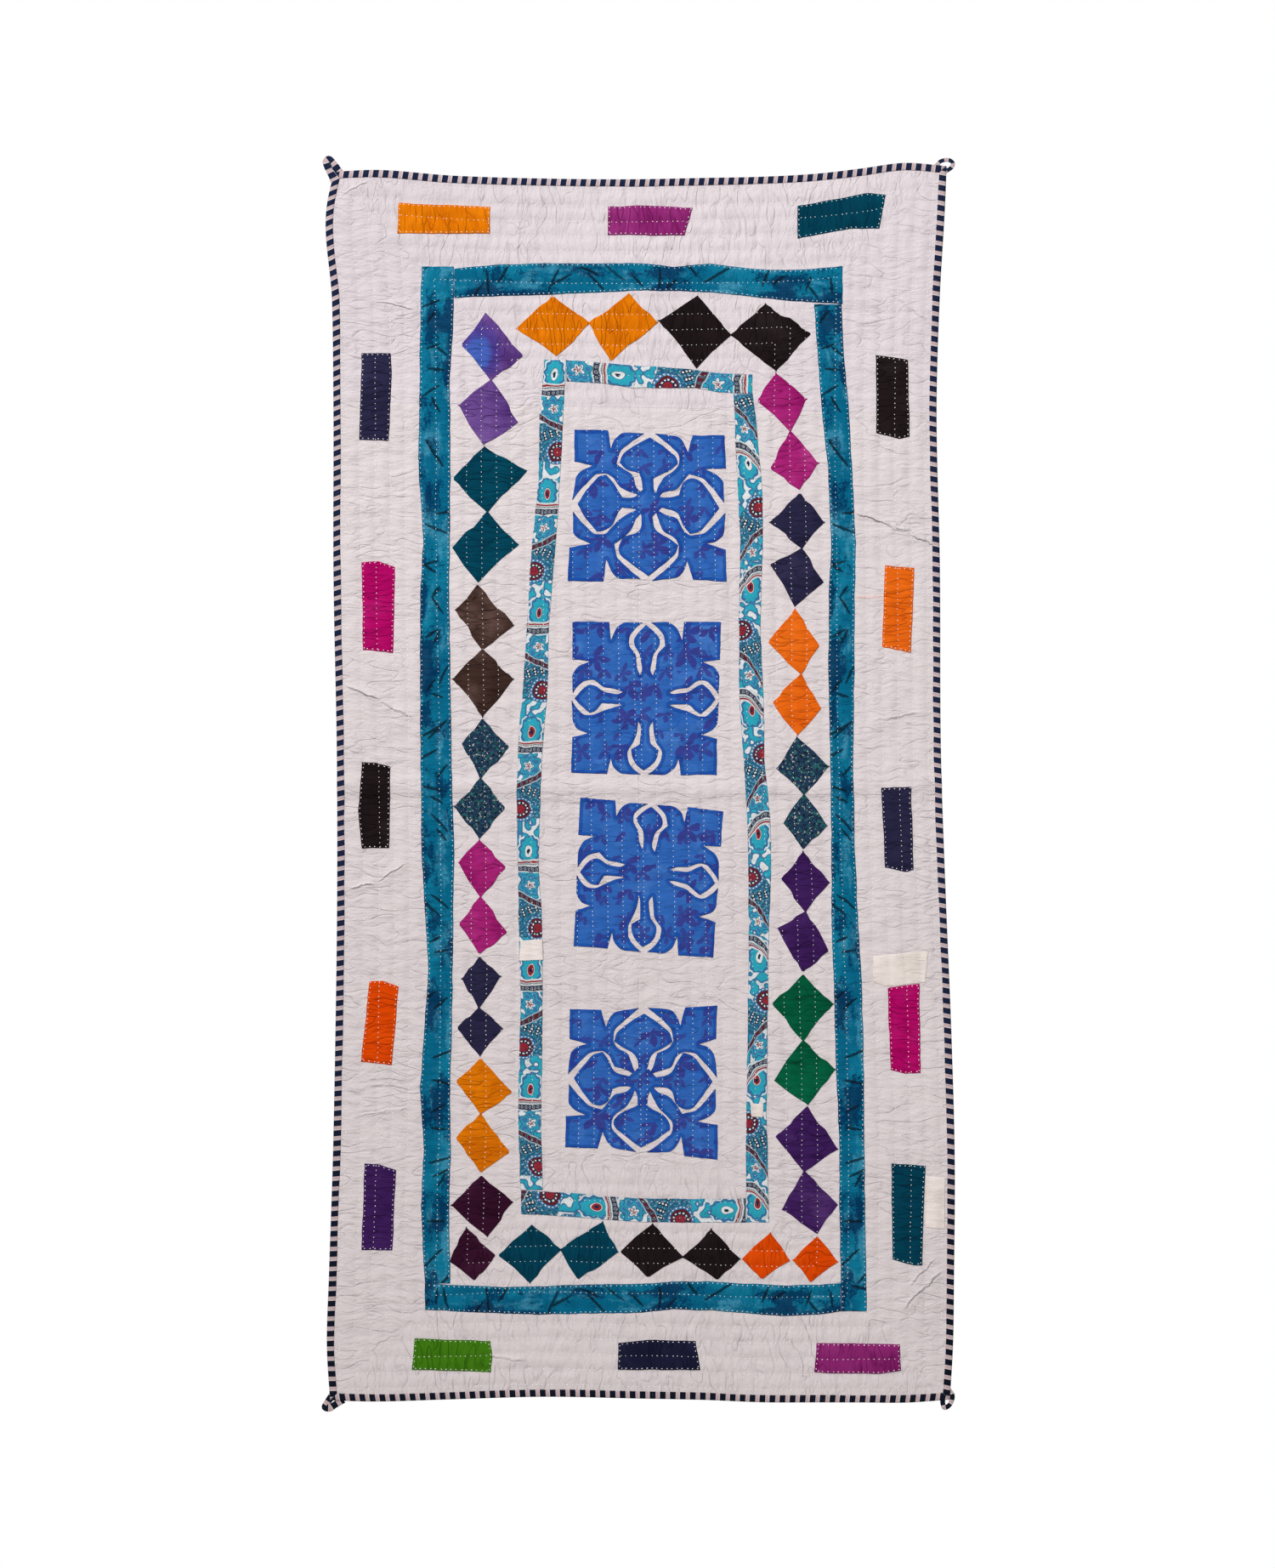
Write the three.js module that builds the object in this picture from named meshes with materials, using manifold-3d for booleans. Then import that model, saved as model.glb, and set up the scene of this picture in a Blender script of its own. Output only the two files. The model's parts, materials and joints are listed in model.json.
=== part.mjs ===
// Hand-quilted cotton wall hanging: an off-white quilted ground with a striped binding and corner loops,
// two strip frames, rectangles, a ring of diamonds and four cut-work squares sewn on its front.
// Millimetres. X to the right and Z up as seen from the front, Y to the back.
// The origin is at the middle of the top edge, at the very back of the cloth.
import * as THREE from 'three';
import { mergeVertices } from 'three/addons/utils/BufferGeometryUtils.js';
import Module from 'manifold-3d';

const wasm = await Module();
wasm.setup();

// Driving dimensions
const width = 1000; // cut width of the ground
const height = 1980; // cut height of the ground
const seat = 0.3; // clearance between cloths that lie on each other
const stitchedThickness = 2.4; // ground at a row of stitches
const puffHeight = 1.8; // how much thicker the ground is between two rows
const firstRow = 20; // first row of stitches in from the edge
const rowPitch = 25; // from row to row
const bindingWidth = 12;
const bindingCloth = 0.8;
const appliqueCloth = 0.6;
const loopThickness = 2.4;

// The ground lies inside the folded binding, so its back stands this far off the wall.
const backStand = seat + bindingCloth;

// The long edges, from the top down: shift of the left and of the right edge to the right,
// and how far each edge curls forward.
const sideEdges = [
  { down: 0, left: 2, right: -4, leftCurl: 1, rightCurl: 3 },
  { down: 50, left: -9, right: -6, leftCurl: 2, rightCurl: 4 },
  { down: 210, left: -1, right: -15, leftCurl: 4, rightCurl: 2 },
  { down: 370, left: 1, right: -20, leftCurl: 2, rightCurl: 1 },
  { down: 640, left: 1, right: -15, leftCurl: 1, rightCurl: 3 },
  { down: 960, left: 7, right: -13, leftCurl: 4, rightCurl: 5 },
  { down: 1180, left: 7, right: -5, leftCurl: 2, rightCurl: 2 },
  { down: 1400, left: 4, right: 4, leftCurl: 1, rightCurl: 3 },
  { down: 1600, left: 0, right: 9, leftCurl: 3, rightCurl: 5 },
  { down: 1780, left: -6, right: 8, leftCurl: 5, rightCurl: 3 },
  { down: 1900, left: -9, right: 6, leftCurl: 6, rightCurl: 4 },
  { down: 1980, left: -4, right: 1, leftCurl: 7, rightCurl: 6 },
];

// The short edges, from left to right: rise of the top and of the bottom edge.
const endEdges = [
  { across: 0, top: 12, bottom: 0 },
  { across: 60, top: 15, bottom: -2 },
  { across: 190, top: 6, bottom: 1 },
  { across: 350, top: 1, bottom: 5 },
  { across: 500, top: 0, bottom: 2 },
  { across: 600, top: 2, bottom: 0 },
  { across: 700, top: 4, bottom: -4 },
  { across: 790, top: 9, bottom: -4 },
  { across: 860, top: 17, bottom: -4 },
  { across: 930, top: 26, bottom: -4 },
  { across: 1000, top: 21, bottom: 1 },
];

// The fold line that was pressed in when the blanket lay folded in half stands forward as a ridge.
const middleFold = { ridge: 3.2, half: 24 };

// Stations along a side as shares of its length, closer together at the middle fold.
const longStations = [0, 0.03, 0.1, 0.19, 0.33, 0.487, 0.5, 0.513, 0.7, 0.9, 0.96, 1];
const shortStations = [0, 0.06, 0.19, 0.35, 0.6, 0.79, 0.93, 1];

// Value of a column of a table at a place, along straight lines between the rows.
function tableValue(table, placeColumn, valueColumn, place) {
  const last = table.length - 1;
  let row = 0;
  while (row < last - 1 && place > table[row + 1][placeColumn]) row += 1;
  const [a, b] = [table[row], table[row + 1]];
  const share = (place - a[placeColumn]) / (b[placeColumn] - a[placeColumn]);
  return a[valueColumn] + share * (b[valueColumn] - a[valueColumn]);
}

// Soft hump of unit height over a half width.
function hump(distance, half) {
  return Math.max(0, 1 - (distance / half) ** 2) ** 2;
}

// How far the back of the cloth stands in front of its seat on the wall.
function curl(across, down) {
  const share = across / width;
  const left = tableValue(sideEdges, 'down', 'leftCurl', down) * (1 - share) ** 3;
  const right = tableValue(sideEdges, 'down', 'rightCurl', down) * share ** 3;
  const ridge = middleFold.ridge * hump(down - height / 2, middleFold.half);
  return left + right + ridge;
}

// A point of the cloth, given as on the flat rectangle (across from the left edge, down from the top edge,
// out from the back of the ground), in its hung place.
function clothPoint(across, down, out) {
  const left = tableValue(sideEdges, 'down', 'left', down);
  const right = tableValue(sideEdges, 'down', 'right', down);
  const top = tableValue(endEdges, 'across', 'top', across);
  const bottom = tableValue(endEdges, 'across', 'bottom', across);
  return [
    across - width / 2 + left + (right - left) * (across / width),
    -(backStand + curl(across, down) + out),
    -down + top + (bottom - top) * (down / height),
  ];
}

// A side of the ring that lies inset from the edges: its start, its direction and its length.
function ringSide(side, inset) {
  const [w, h] = [width - 2 * inset, height - 2 * inset];
  return {
    top: { start: [inset, inset], step: [1, 0], length: w },
    right: { start: [width - inset, inset], step: [0, 1], length: h },
    bottom: { start: [width - inset, height - inset], step: [-1, 0], length: w },
    left: { start: [inset, height - inset], step: [0, -1], length: h },
  }[side];
}

const sides = ['top', 'right', 'bottom', 'left'];

function stationsOf(side) {
  if (side === 'top') return shortStations;
  if (side === 'right') return longStations;
  if (side === 'bottom') return shortStations.map((share) => 1 - share).reverse();
  return longStations.map((share) => 1 - share).reverse();
}

// Points of a whole ring at an inset, clockwise from the top left corner, out from the back by a height.
function ringPoints(inset, out) {
  return sides.flatMap((side) => {
    const { start, step, length } = ringSide(side, inset);
    return stationsOf(side).slice(0, -1).map((share) => {
      const run = share * length;
      return clothPoint(start[0] + step[0] * run, start[1] + step[1] * run, out);
    });
  });
}

// A closed mesh from points and triangles: like points are merged, triangles that have shrunk to a line
// are dropped, and the faces are turned outwards.
function closedGeometry(points, triangles) {
  const seen = new Map();
  const kept = [];
  const index = points.map((p) => {
    const key = p.map((v) => Math.round(v * 1000)).join();
    if (!seen.has(key)) {
      seen.set(key, kept.length);
      kept.push(p);
    }
    return seen.get(key);
  });
  const faces = triangles
    .map((t) => t.map((i) => index[i]))
    .filter(([a, b, c]) => a !== b && b !== c && c !== a);
  const volume = faces.reduce((sum, [a, b, c]) => {
    const [p, q, r] = [kept[a], kept[b], kept[c]].map((v) => new THREE.Vector3(...v));
    return sum + p.dot(q.cross(r));
  }, 0);
  const turned = volume > 0 ? faces : faces.map(([a, b, c]) => [a, c, b]);
  const geometry = new THREE.BufferGeometry();
  geometry.setAttribute('position', new THREE.Float32BufferAttribute(kept.flat(), 3));
  geometry.setIndex(turned.flat());
  return geometry;
}

// Bands of triangles between closed rings of equally many points.
function bandsBetween(ringCount, ringSize) {
  const triangles = [];
  for (let ring = 0; ring < ringCount - 1; ring += 1) {
    for (let i = 0; i < ringSize; i += 1) {
      const next = (i + 1) % ringSize;
      const [a, b] = [ring * ringSize + i, ring * ringSize + next];
      const [c, d] = [a + ringSize, b + ringSize];
      triangles.push([a, b, d], [a, d, c]);
    }
  }
  return triangles;
}

// Insets and thicknesses of the front of the ground: level under the binding, then valley and puff in turn.
function frontRows() {
  const rows = [
    { inset: backStand, thickness: stitchedThickness },
    { inset: bindingWidth, thickness: stitchedThickness },
    { inset: firstRow, thickness: stitchedThickness },
  ];
  for (let inset = firstRow; inset + rowPitch < width / 2; inset += rowPitch) {
    rows.push({ inset: inset + rowPitch / 2, thickness: stitchedThickness + puffHeight });
    rows.push({ inset: inset + rowPitch, thickness: stitchedThickness });
  }
  rows.push({ inset: width / 2, thickness: stitchedThickness });
  return rows;
}

const backInsets = [width / 2, 330, 220, 110, bindingWidth, backStand];

function groundGeometry() {
  const front = frontRows().map(({ inset, thickness }) => ringPoints(inset, thickness));
  const back = backInsets.map((inset) => ringPoints(inset, 0));
  const rings = [...front, ...back, front[0]];
  return closedGeometry(rings.flat(), bandsBetween(rings.length, front[0].length));
}

// A manifold solid from a closed geometry, and the way back.
function solid(geometry) {
  const bare = geometry.clone();
  bare.deleteAttribute('normal');
  bare.deleteAttribute('uv');
  const merged = mergeVertices(bare, 1e-4);
  return new wasm.Manifold(new wasm.Mesh({
    numProp: 3,
    vertProperties: Float32Array.from(merged.attributes.position.array),
    triVerts: Uint32Array.from(merged.index.array),
  }));
}

function geometryOf(manifold) {
  const mesh = manifold.getMesh();
  const geometry = new THREE.BufferGeometry();
  geometry.setAttribute('position', new THREE.BufferAttribute(mesh.vertProperties, 3));
  geometry.setIndex(new THREE.BufferAttribute(mesh.triVerts, 1));
  return geometry;
}

// A thin skin over the front of the ground, one cloth thick, lifted off it by a height.
function skinOverGround(rows, lift) {
  const outer = rows.map(({ inset, thickness }) => ringPoints(inset, thickness + lift + appliqueCloth));
  const inner = rows.map(({ inset, thickness }) => ringPoints(inset, thickness + lift)).reverse();
  const rings = [...outer, ...inner, outer[0]];
  return solid(closedGeometry(rings.flat(), bandsBetween(rings.length, outer[0].length)));
}

// Strips and rectangles are stitched down into every valley; small and pierced pieces span the puffs.
const spanningRows = [bindingWidth, 110, 220, 330, width / 2].map((inset) => (
  { inset, thickness: stitchedThickness + puffHeight }
));
const stitchedSkin = skinOverGround(frontRows().slice(1), seat);
const spanningSkin = skinOverGround(spanningRows, seat);

// A prism of an outline in X and Z, right through the cloth.
const prismDepth = 60;

function prism(outline) {
  const shape = new THREE.Shape(outline.map(([x, z]) => new THREE.Vector2(x, z)));
  const geometry = new THREE.ExtrudeGeometry(shape, { depth: prismDepth, bevelEnabled: false });
  geometry.rotateX(Math.PI / 2);
  geometry.translate(0, prismDepth / 4, 0);
  return solid(geometry);
}

function applique(outline, skin) {
  return geometryOf(prism(outline).intersect(skin));
}

// The binding: a strip folded round the edge, as points of its section given by the inset from the edge
// and the height from the back of the ground.
const bindingFront = stitchedThickness + seat + bindingCloth;
const foldRound = 1.1;
const bindingSection = [
  [bindingWidth, bindingFront],
  [foldRound, bindingFront],
  [0, bindingFront - foldRound],
  [0, foldRound - backStand],
  [foldRound, -backStand],
  [bindingWidth, -backStand],
  [bindingWidth, -seat],
  [bindingCloth, -seat],
  [bindingCloth, stitchedThickness + seat],
  [bindingWidth, stitchedThickness + seat],
];

// Triangles across the cut end of the folded strip, in the order of its section's points.
const bindingEnd = [
  [0, 1, 8], [0, 8, 9], [1, 2, 8], [2, 3, 8], [3, 7, 8], [3, 4, 7], [4, 5, 7], [5, 6, 7],
];

function bindingGeometry(side) {
  const sections = stationsOf(side).map((share) => bindingSection.map(([inset, out]) => {
    const { start, step, length } = ringSide(side, inset);
    const run = seat + share * (length - 2 * seat);
    return clothPoint(start[0] + step[0] * run, start[1] + step[1] * run, out);
  }));
  const size = bindingSection.length;
  const bands = bandsBetween(sections.length, size);
  const lastSection = size * (sections.length - 1);
  const firstEnd = bindingEnd.map(([a, b, c]) => [a, c, b]);
  const lastEnd = bindingEnd.map((t) => t.map((i) => lastSection + i));
  return closedGeometry(sections.flat(), [...bands, ...firstEnd, ...lastEnd]);
}

// Corner loops, each of folded binding cloth: outline (clockwise) and hole (the other way round) as smooth
// closed curves in X and Z, trimmed where they meet the edge of the binding.
const loops = [
  {
    name: 'loop_top_left',
    outline: [[-478, 6], [-500, 32], [-507, 36], [-515, 34], [-517, 27], [-505, 2], [-494, -10]],
  },
  {
    name: 'loop_top_right',
    outline: [[470, 20], [490, 33], [504, 33.5], [509.5, 26], [506, 18], [492, 6], [480, 8]],
    hole: [[492.5, 15.5], [499, 19], [503, 23], [500, 27], [492, 27.5], [487, 23]],
  },
  {
    name: 'loop_bottom_left',
    outline: [[-500, -1962], [-513, -1982], [-521, -1997], [-508, -1997.5], [-497, -1991], [-478, -1980]],
  },
  {
    name: 'loop_bottom_right',
    outline: [[495, -1958], [507, -1966], [509.5, -1974], [505, -1988], [495, -1996], [488, -1997.5],
      [488, -1986], [485, -1975]],
    hole: [[497.8, -1979], [499, -1979.4], [499.8, -1975.6], [498.4, -1975]],
  },
];

const curveSteps = 4;

function smoothOutline(points) {
  const curve = new THREE.CatmullRomCurve3(points.map(([x, z]) => new THREE.Vector3(x, z, 0)), true);
  return curve.getPoints(points.length * curveSteps).slice(0, -1).map(({ x, y }) => new THREE.Vector2(x, y));
}

function loopGeometry({ outline, hole }) {
  const shape = new THREE.Shape(smoothOutline(outline));
  if (hole) shape.holes.push(new THREE.Path(smoothOutline(hole)));
  const geometry = new THREE.ExtrudeGeometry(shape, { depth: loopThickness, bevelEnabled: false });
  geometry.rotateX(Math.PI / 2);
  const [x, z] = outline[0];
  const across = x < 0 ? 0 : width;
  const down = z > -height / 2 ? 0 : height;
  const [, backY] = clothPoint(across, down, (stitchedThickness - loopThickness) / 2);
  geometry.translate(0, backY, 0);
  const trim = prism(ringPoints(-seat, 0).map(([px, , pz]) => [px, pz]));
  return geometryOf(solid(geometry).subtract(trim));
}

// Strip frames, each a pinwheel of four strips. Rows give, along each strip, the outer and the inner edge,
// and the first row is the end that butts on the next strip. Upright strips run along Z with edges in X,
// level ones along X with edges in Z.
const tealFrame = {
  left: [
    [-1791, -350, -309], [-1668, -357, -311], [-1577, -352, -308], [-1474, -358, -310],
    [-1354, -351, -306], [-1285, -345, -306], [-1172, -351, -304], [-1094, -356, -303], [-951, -357, -307],
    [-796, -358, -309], [-662, -358, -311], [-592, -353, -310], [-457, -361, -309], [-320, -359, -310],
    [-211, -358, -303], [-142, -355, -303],
  ],
  top: [
    [-303, -146, -193], [-239, -139, -191], [-152, -137, -188], [-73, -137, -184], [8, -137, -181],
    [52, -142, -182], [115, -138, -184], [193, -147, -193], [235, -148, -197], [279, -146, -201],
    [327, -141, -203],
  ],
  right: [
    [-203, 325, 281], [-287, 329, 287], [-368, 337, 293], [-475, 343, 304], [-590, 348, 309],
    [-675, 347, 305], [-796, 346, 304], [-940, 344, 307], [-1060, 346, 309], [-1210, 352, 309],
    [-1296, 358, 313], [-1423, 361, 316], [-1543, 362, 321], [-1668, 362, 322], [-1790, 365, 325],
    [-1836, 366, 325],
  ],
  bottom: [
    [325, -1836, -1790], [286, -1842, -1793], [228, -1844, -1794], [166, -1839, -1791],
    [115, -1835, -1788], [52, -1833, -1788], [1, -1838, -1792], [-84, -1840, -1792], [-152, -1841, -1795],
    [-221, -1839, -1797], [-290, -1836, -1794], [-350, -1833, -1791],
  ],
};

const paisleyFrame = {
  left: [
    [-1640, -195, -159], [-1525, -199, -162], [-1450, -198, -161], [-1320, -195, -159],
    [-1210, -198, -160], [-1110, -200, -166], [-991, -202, -163], [-889, -197, -157], [-836, -192, -152],
    [-731, -186, -149], [-611, -178, -140], [-490, -166, -131], [-384, -164, -126], [-293, -157, -121],
  ],
  top: [
    [-121, -294, -328], [-65, -298, -332], [-13, -302, -339], [45, -306, -339], [91, -310, -339],
    [126, -315, -346], [181, -317, -349],
  ],
  right: [
    [-349, 181, 150], [-395, 187, 152], [-510, 197, 157], [-577, 198, 161], [-731, 194, 159],
    [-854, 199, 160], [-940, 200, 167], [-1042, 210, 173], [-1110, 211, 174], [-1210, 208, 175],
    [-1405, 205, 173], [-1510, 204, 171], [-1652, 207, 170], [-1692, 208, 170],
  ],
  bottom: [
    [170, -1692, -1653], [80, -1692, -1654], [1, -1692, -1653], [-50, -1688, -1650],
    [-118, -1682, -1644], [-194, -1678, -1640],
  ],
};

// The outline of a strip, its first end kept clear of the strip that it butts on.
function stripOutline(side, rows) {
  const level = side === 'top' || side === 'bottom';
  const lastRow = rows.length - 1;
  const direction = Math.sign(rows[lastRow][0] - rows[0][0]);
  const placed = rows.map(([along, outer, inner], row) => ({
    along: row === 0 ? along + direction * seat : along,
    outer,
    inner,
  }));
  const point = (along, value) => (level ? [along, value] : [value, along]);
  return [
    ...placed.map((row) => point(row.along, row.outer)),
    ...placed.reverse().map((row) => point(row.along, row.inner)),
  ];
}

// Rectangles of the border, by side and in order: colour and corners, clockwise from the top left.
const rectangles = {
  top: [
    ['#de8614', [-393, -39], [-244, -45], [-245, -89], [-395, -89]],
    ['#962a7c', [-53, -45], [8, -43], [84, -47], [71, -92], [-54, -91]],
    ['#005a66', [254, -44], [367, -23], [397, -26], [387, -81], [341, -81], [254, -97]],
  ],
  left: [
    ['#262448', [-453, -283], [-406, -283], [-404, -317], [-409, -425], [-457, -423]],
    ['#ac0064', [-453, -622], [-427, -619], [-399, -629], [-402, -769], [-451, -764]],
    ['#20221f', [-452, -946], [-430, -946], [-406, -953], [-408, -1085], [-453, -1086], [-458, -1025]],
    ['#e14805', [-440, -1301], [-417, -1301], [-393, -1310], [-404, -1437], [-454, -1431]],
    ['#42206a', [-448, -1596], [-424, -1598], [-397, -1607], [-403, -1737], [-453, -1736]],
  ],
  right: [
    ['#1e1817', [381, -286], [433, -293], [436, -418], [420, -422], [382, -412]],
    ['#f06e10', [396, -627], [443, -631], [438, -769], [391, -759]],
    ['#26244a', [389, -987], [438, -986], [442, -1120], [430, -1124], [396, -1116]],
    ['#b0005f', [400, -1312], [452, -1305], [453, -1449], [430, -1451], [405, -1445]],
    ['#004e5a', [406, -1596], [461, -1600], [456, -1761], [441, -1762], [408, -1752]],
  ],
  bottom: [
    ['#3e8c14', [-367, -1880], [-244, -1884], [-241, -1910], [-243, -1935], [-371, -1930]],
    ['#1c1d48', [-37, -1887], [22, -1882], [89, -1884], [96, -1931], [-38, -1931]],
    ['#7e1b6a', [285, -1888], [420, -1889], [422, -1932], [386, -1938], [281, -1935]],
  ],
};

// Diamond pairs, clockwise round the ring from the top left. A pair is cut from one cloth: place, colour,
// the first diamond's free tip and its two side corners, the joint, then the second's two side corners
// and its free tip. The first of two side corners lies on the outer side of the ring.
const diamondPairs = [
  ['amber_top', '#ee840c', [-202, -243], [-143, -189], [-137, -288], [-84, -234],
    [-19, -185], [-48, -296], [27, -233]],
  ['black_top', '#231c1b', [29, -230], [92, -189], [90, -308], [146, -253],
    [202, -203], [219, -311], [277, -251]],
  ['magenta_right', '#9e146e', [219, -315], [268, -357], [188, -360], [242, -409],
    [287, -461], [209, -470], [257, -505]],
  ['navy_right', '#262246', [258, -508], [297, -557], [209, -557], [261, -599],
    [297, -654], [209, -625], [249, -694]],
  ['orange_right', '#f26c0e', [250, -697], [290, -757], [206, -752], [260, -803],
    [293, -859], [213, -849], [254, -902]],
  ['print_right', '#1e3a55', [253, -905], [304, -953], [220, -956], [264, -998],
    [302, -1049], [231, -1045], [263, -1088]],
  ['purple_right', '#461e6e', [263, -1091], [306, -1141], [227, -1135], [267, -1188],
    [305, -1252], [221, -1215], [262, -1287]],
  ['green_right', '#08693c', [263, -1289], [312, -1338], [212, -1338], [263, -1397],
    [315, -1444], [216, -1462], [271, -1501]],
  ['violet_right', '#461e6e', [270, -1503], [319, -1573], [218, -1553], [265, -1609],
    [319, -1663], [229, -1671], [286, -1711]],
  ['black_bottom', '#231c1b', [161, -1751], [124, -1786], [114, -1703], [68, -1748],
    [11, -1782], [19, -1694], [-34, -1740]],
  ['teal_bottom', '#005258', [-37, -1740], [-102, -1785], [-62, -1691], [-130, -1736],
    [-180, -1790], [-177, -1695], [-232, -1745]],
  ['amber_left', '#ee840c', [-260, -1612], [-301, -1555], [-212, -1578], [-260, -1516],
    [-301, -1463], [-208, -1481], [-260, -1425]],
  ['navy_left', '#262246', [-261, -1422], [-299, -1377], [-223, -1378], [-263, -1344],
    [-290, -1297], [-228, -1293], [-262, -1260]],
  ['magenta_left', '#9e146e', [-262, -1258], [-296, -1208], [-216, -1222], [-260, -1164],
    [-296, -1108], [-218, -1116], [-262, -1072]],
  ['print_left', '#1e3a55', [-262, -1070], [-302, -1018], [-219, -1020], [-260, -972],
    [-290, -916], [-213, -921], [-257, -874]],
  ['brown_left', '#48342a', [-257, -872], [-305, -811], [-207, -811], [-257, -763],
    [-301, -699], [-205, -724], [-265, -657]],
  ['teal_left', '#005258', [-264, -655], [-306, -598], [-198, -593], [-249, -540],
    [-306, -486], [-184, -473], [-254, -434]],
  ['violet_left', '#553ca0', [-256, -432], [-295, -367], [-199, -395], [-243, -326],
    [-292, -269], [-190, -287], [-252, -217]],
];

// Single diamonds in the two lower corners of the ring: place, colour and corners. The lower plum one has
// a blunt side corner.
const singleDiamonds = [
  ['plum_left', '#48143e', [-259, -1615], [-307, -1664], [-249, -1715], [-208, -1659]],
  ['plum_corner', '#48143e', [-283, -1701], [-308.5, -1742], [-308.5, -1758], [-270, -1787], [-235, -1745]],
  ['orange_bottom', '#e85208', [164, -1751], [210, -1709], [242, -1754], [196, -1785]],
  ['orange_corner', '#e85208', [247, -1753], [286, -1714.5], [319, -1756], [275, -1790]],
];

const jointHalf = 1.2; // half width of the cloth left at the joint of a pair

function pairOutline([, , first, firstOuter, firstInner, joint, secondOuter, secondInner, last]) {
  const line = new THREE.Vector2(last[0] - first[0], last[1] - first[1]).normalize();
  const toOuter = new THREE.Vector2(-line.y, line.x).multiplyScalar(jointHalf);
  const jointOuter = [joint[0] + toOuter.x, joint[1] + toOuter.y];
  const jointInner = [joint[0] - toOuter.x, joint[1] - toOuter.y];
  return [first, firstOuter, jointOuter, secondOuter, last, secondInner, jointInner, firstInner];
}

// Cut-work squares. One eighth of the outline, from the tip of a leaf to the corner block, in half sides:
// side is the distance from the axis of the leaf, rise the distance from the centre.
const wideLeafCut = [
  { side: 0.17, rise: 0.81 }, { side: 0.36, rise: 0.66 }, { side: 0.38, rise: 0.55 },
  { side: 0.29, rise: 0.45 }, { side: 0.13, rise: 0.39 }, { side: 0.075, rise: 0.32 },
  { side: 0.07, rise: 0.17 }, { side: 0.1, rise: 0.14 }, { side: 0.14, rise: 0.21 },
  { side: 0.2, rise: 0.37 }, { side: 0.34, rise: 0.46 }, { side: 0.41, rise: 0.54 },
  { side: 0.39, rise: 0.7 }, { side: 0.23, rise: 0.85 }, { side: 0.07, rise: 0.98 },
  { side: 0.38, rise: 0.96 }, { side: 0.46, rise: 0.87 }, { side: 0.51, rise: 0.73 },
  { side: 0.56, rise: 0.99 },
];
const narrowLeafCut = [
  { side: 0.1, rise: 0.88 }, { side: 0.185, rise: 0.77 }, { side: 0.175, rise: 0.68 },
  { side: 0.075, rise: 0.59 }, { side: 0.06, rise: 0.35 }, { side: 0.09, rise: 0.31 },
  { side: 0.12, rise: 0.43 }, { side: 0.15, rise: 0.57 }, { side: 0.24, rise: 0.7 },
  { side: 0.225, rise: 0.84 }, { side: 0.12, rise: 0.95 }, { side: 0.045, rise: 1 },
  { side: 0.31, rise: 1 }, { side: 0.42, rise: 0.92 }, { side: 0.47, rise: 0.77 },
  { side: 0.51, rise: 1 },
];
const cutworkSquares = [
  {
    cut: wideLeafCut, leafTip: 0.92, centre: [11, -525],
    corners: [[-108, -405], [137, -416], [140, -653], [-119, -653]],
  },
  {
    cut: narrowLeafCut, leafTip: 0.95, centre: [8, -843],
    corners: [[-111, -718], [130, -718], [123, -968], [-113, -964]],
  },
  {
    cut: narrowLeafCut, leafTip: 0.95, centre: [9, -1125],
    corners: [[-99, -1003], [134, -1024], [117, -1264], [-109, -1244]],
  },
  {
    cut: wideLeafCut, leafTip: 0.92, centre: [3, -1463],
    corners: [[-116, -1346], [124, -1340], [125, -1590], [-124, -1570]],
  },
];
const scissorWobble = 0.012; // stray of the scissors in half sides

// A place inside the four corners, with the centre of the cut at its own point.
function insideSquare({ centre, corners }, u, v) {
  const [topLeft, topRight, bottomRight, bottomLeft] = corners;
  const pull = (1 - u * u) * (1 - v * v);
  return [0, 1].map((axis) => {
    const top = topLeft[axis] + (topRight[axis] - topLeft[axis]) * (u + 1) / 2;
    const bottom = bottomLeft[axis] + (bottomRight[axis] - bottomLeft[axis]) * (u + 1) / 2;
    const flat = bottom + (top - bottom) * (v + 1) / 2;
    const middle = (topLeft[axis] + topRight[axis] + bottomRight[axis] + bottomLeft[axis]) / 4;
    return flat + (centre[axis] - middle) * pull;
  });
}

function cutworkOutline(square) {
  const rightHalf = [{ side: 0, rise: square.leafTip }, ...square.cut, { side: 1, rise: 1 }];
  const leftHalf = square.cut.map(({ side, rise }) => ({ side: -side, rise })).reverse();
  const quarter = [...rightHalf, ...leftHalf.map(({ side, rise }) => ({ side: rise, rise: -side }))];
  const points = [];
  for (let turn = 0; turn < 4; turn += 1) {
    const [c, s] = [Math.round(Math.cos(turn * Math.PI / 2)), Math.round(Math.sin(turn * Math.PI / 2))];
    quarter.forEach(({ side, rise }, i) => {
      const stray = scissorWobble * Math.sin(2.3 * i + 4.1 * turn + square.centre[1]);
      const [u, v] = [side + stray, rise - stray].map((value) => Math.max(-1, Math.min(1, value)));
      points.push(insideSquare(square, c * u + s * v, -s * u + c * v));
    });
  }
  return points;
}

// The repair patch of cream cloth on the right of the ground.
const repairPatch = [[377, -1260], [466, -1252], [461, -1302], [398, -1310], [377, -1302]];

const clothLook = { roughness: 0.9, metalness: 0 };
const colours = {
  ground: '#d8ced0',
  binding: '#3a415a',
  teal: '#0a708f',
  paisley: '#5fa9bd',
  cutwork: '#2f63b0',
  patch: '#e2dcd0',
};

const hanging = new THREE.Group();

function addCloth(name, geometry, colour) {
  const mesh = new THREE.Mesh(geometry, new THREE.MeshStandardMaterial({ color: colour, ...clothLook }));
  mesh.name = name;
  hanging.add(mesh);
}

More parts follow.
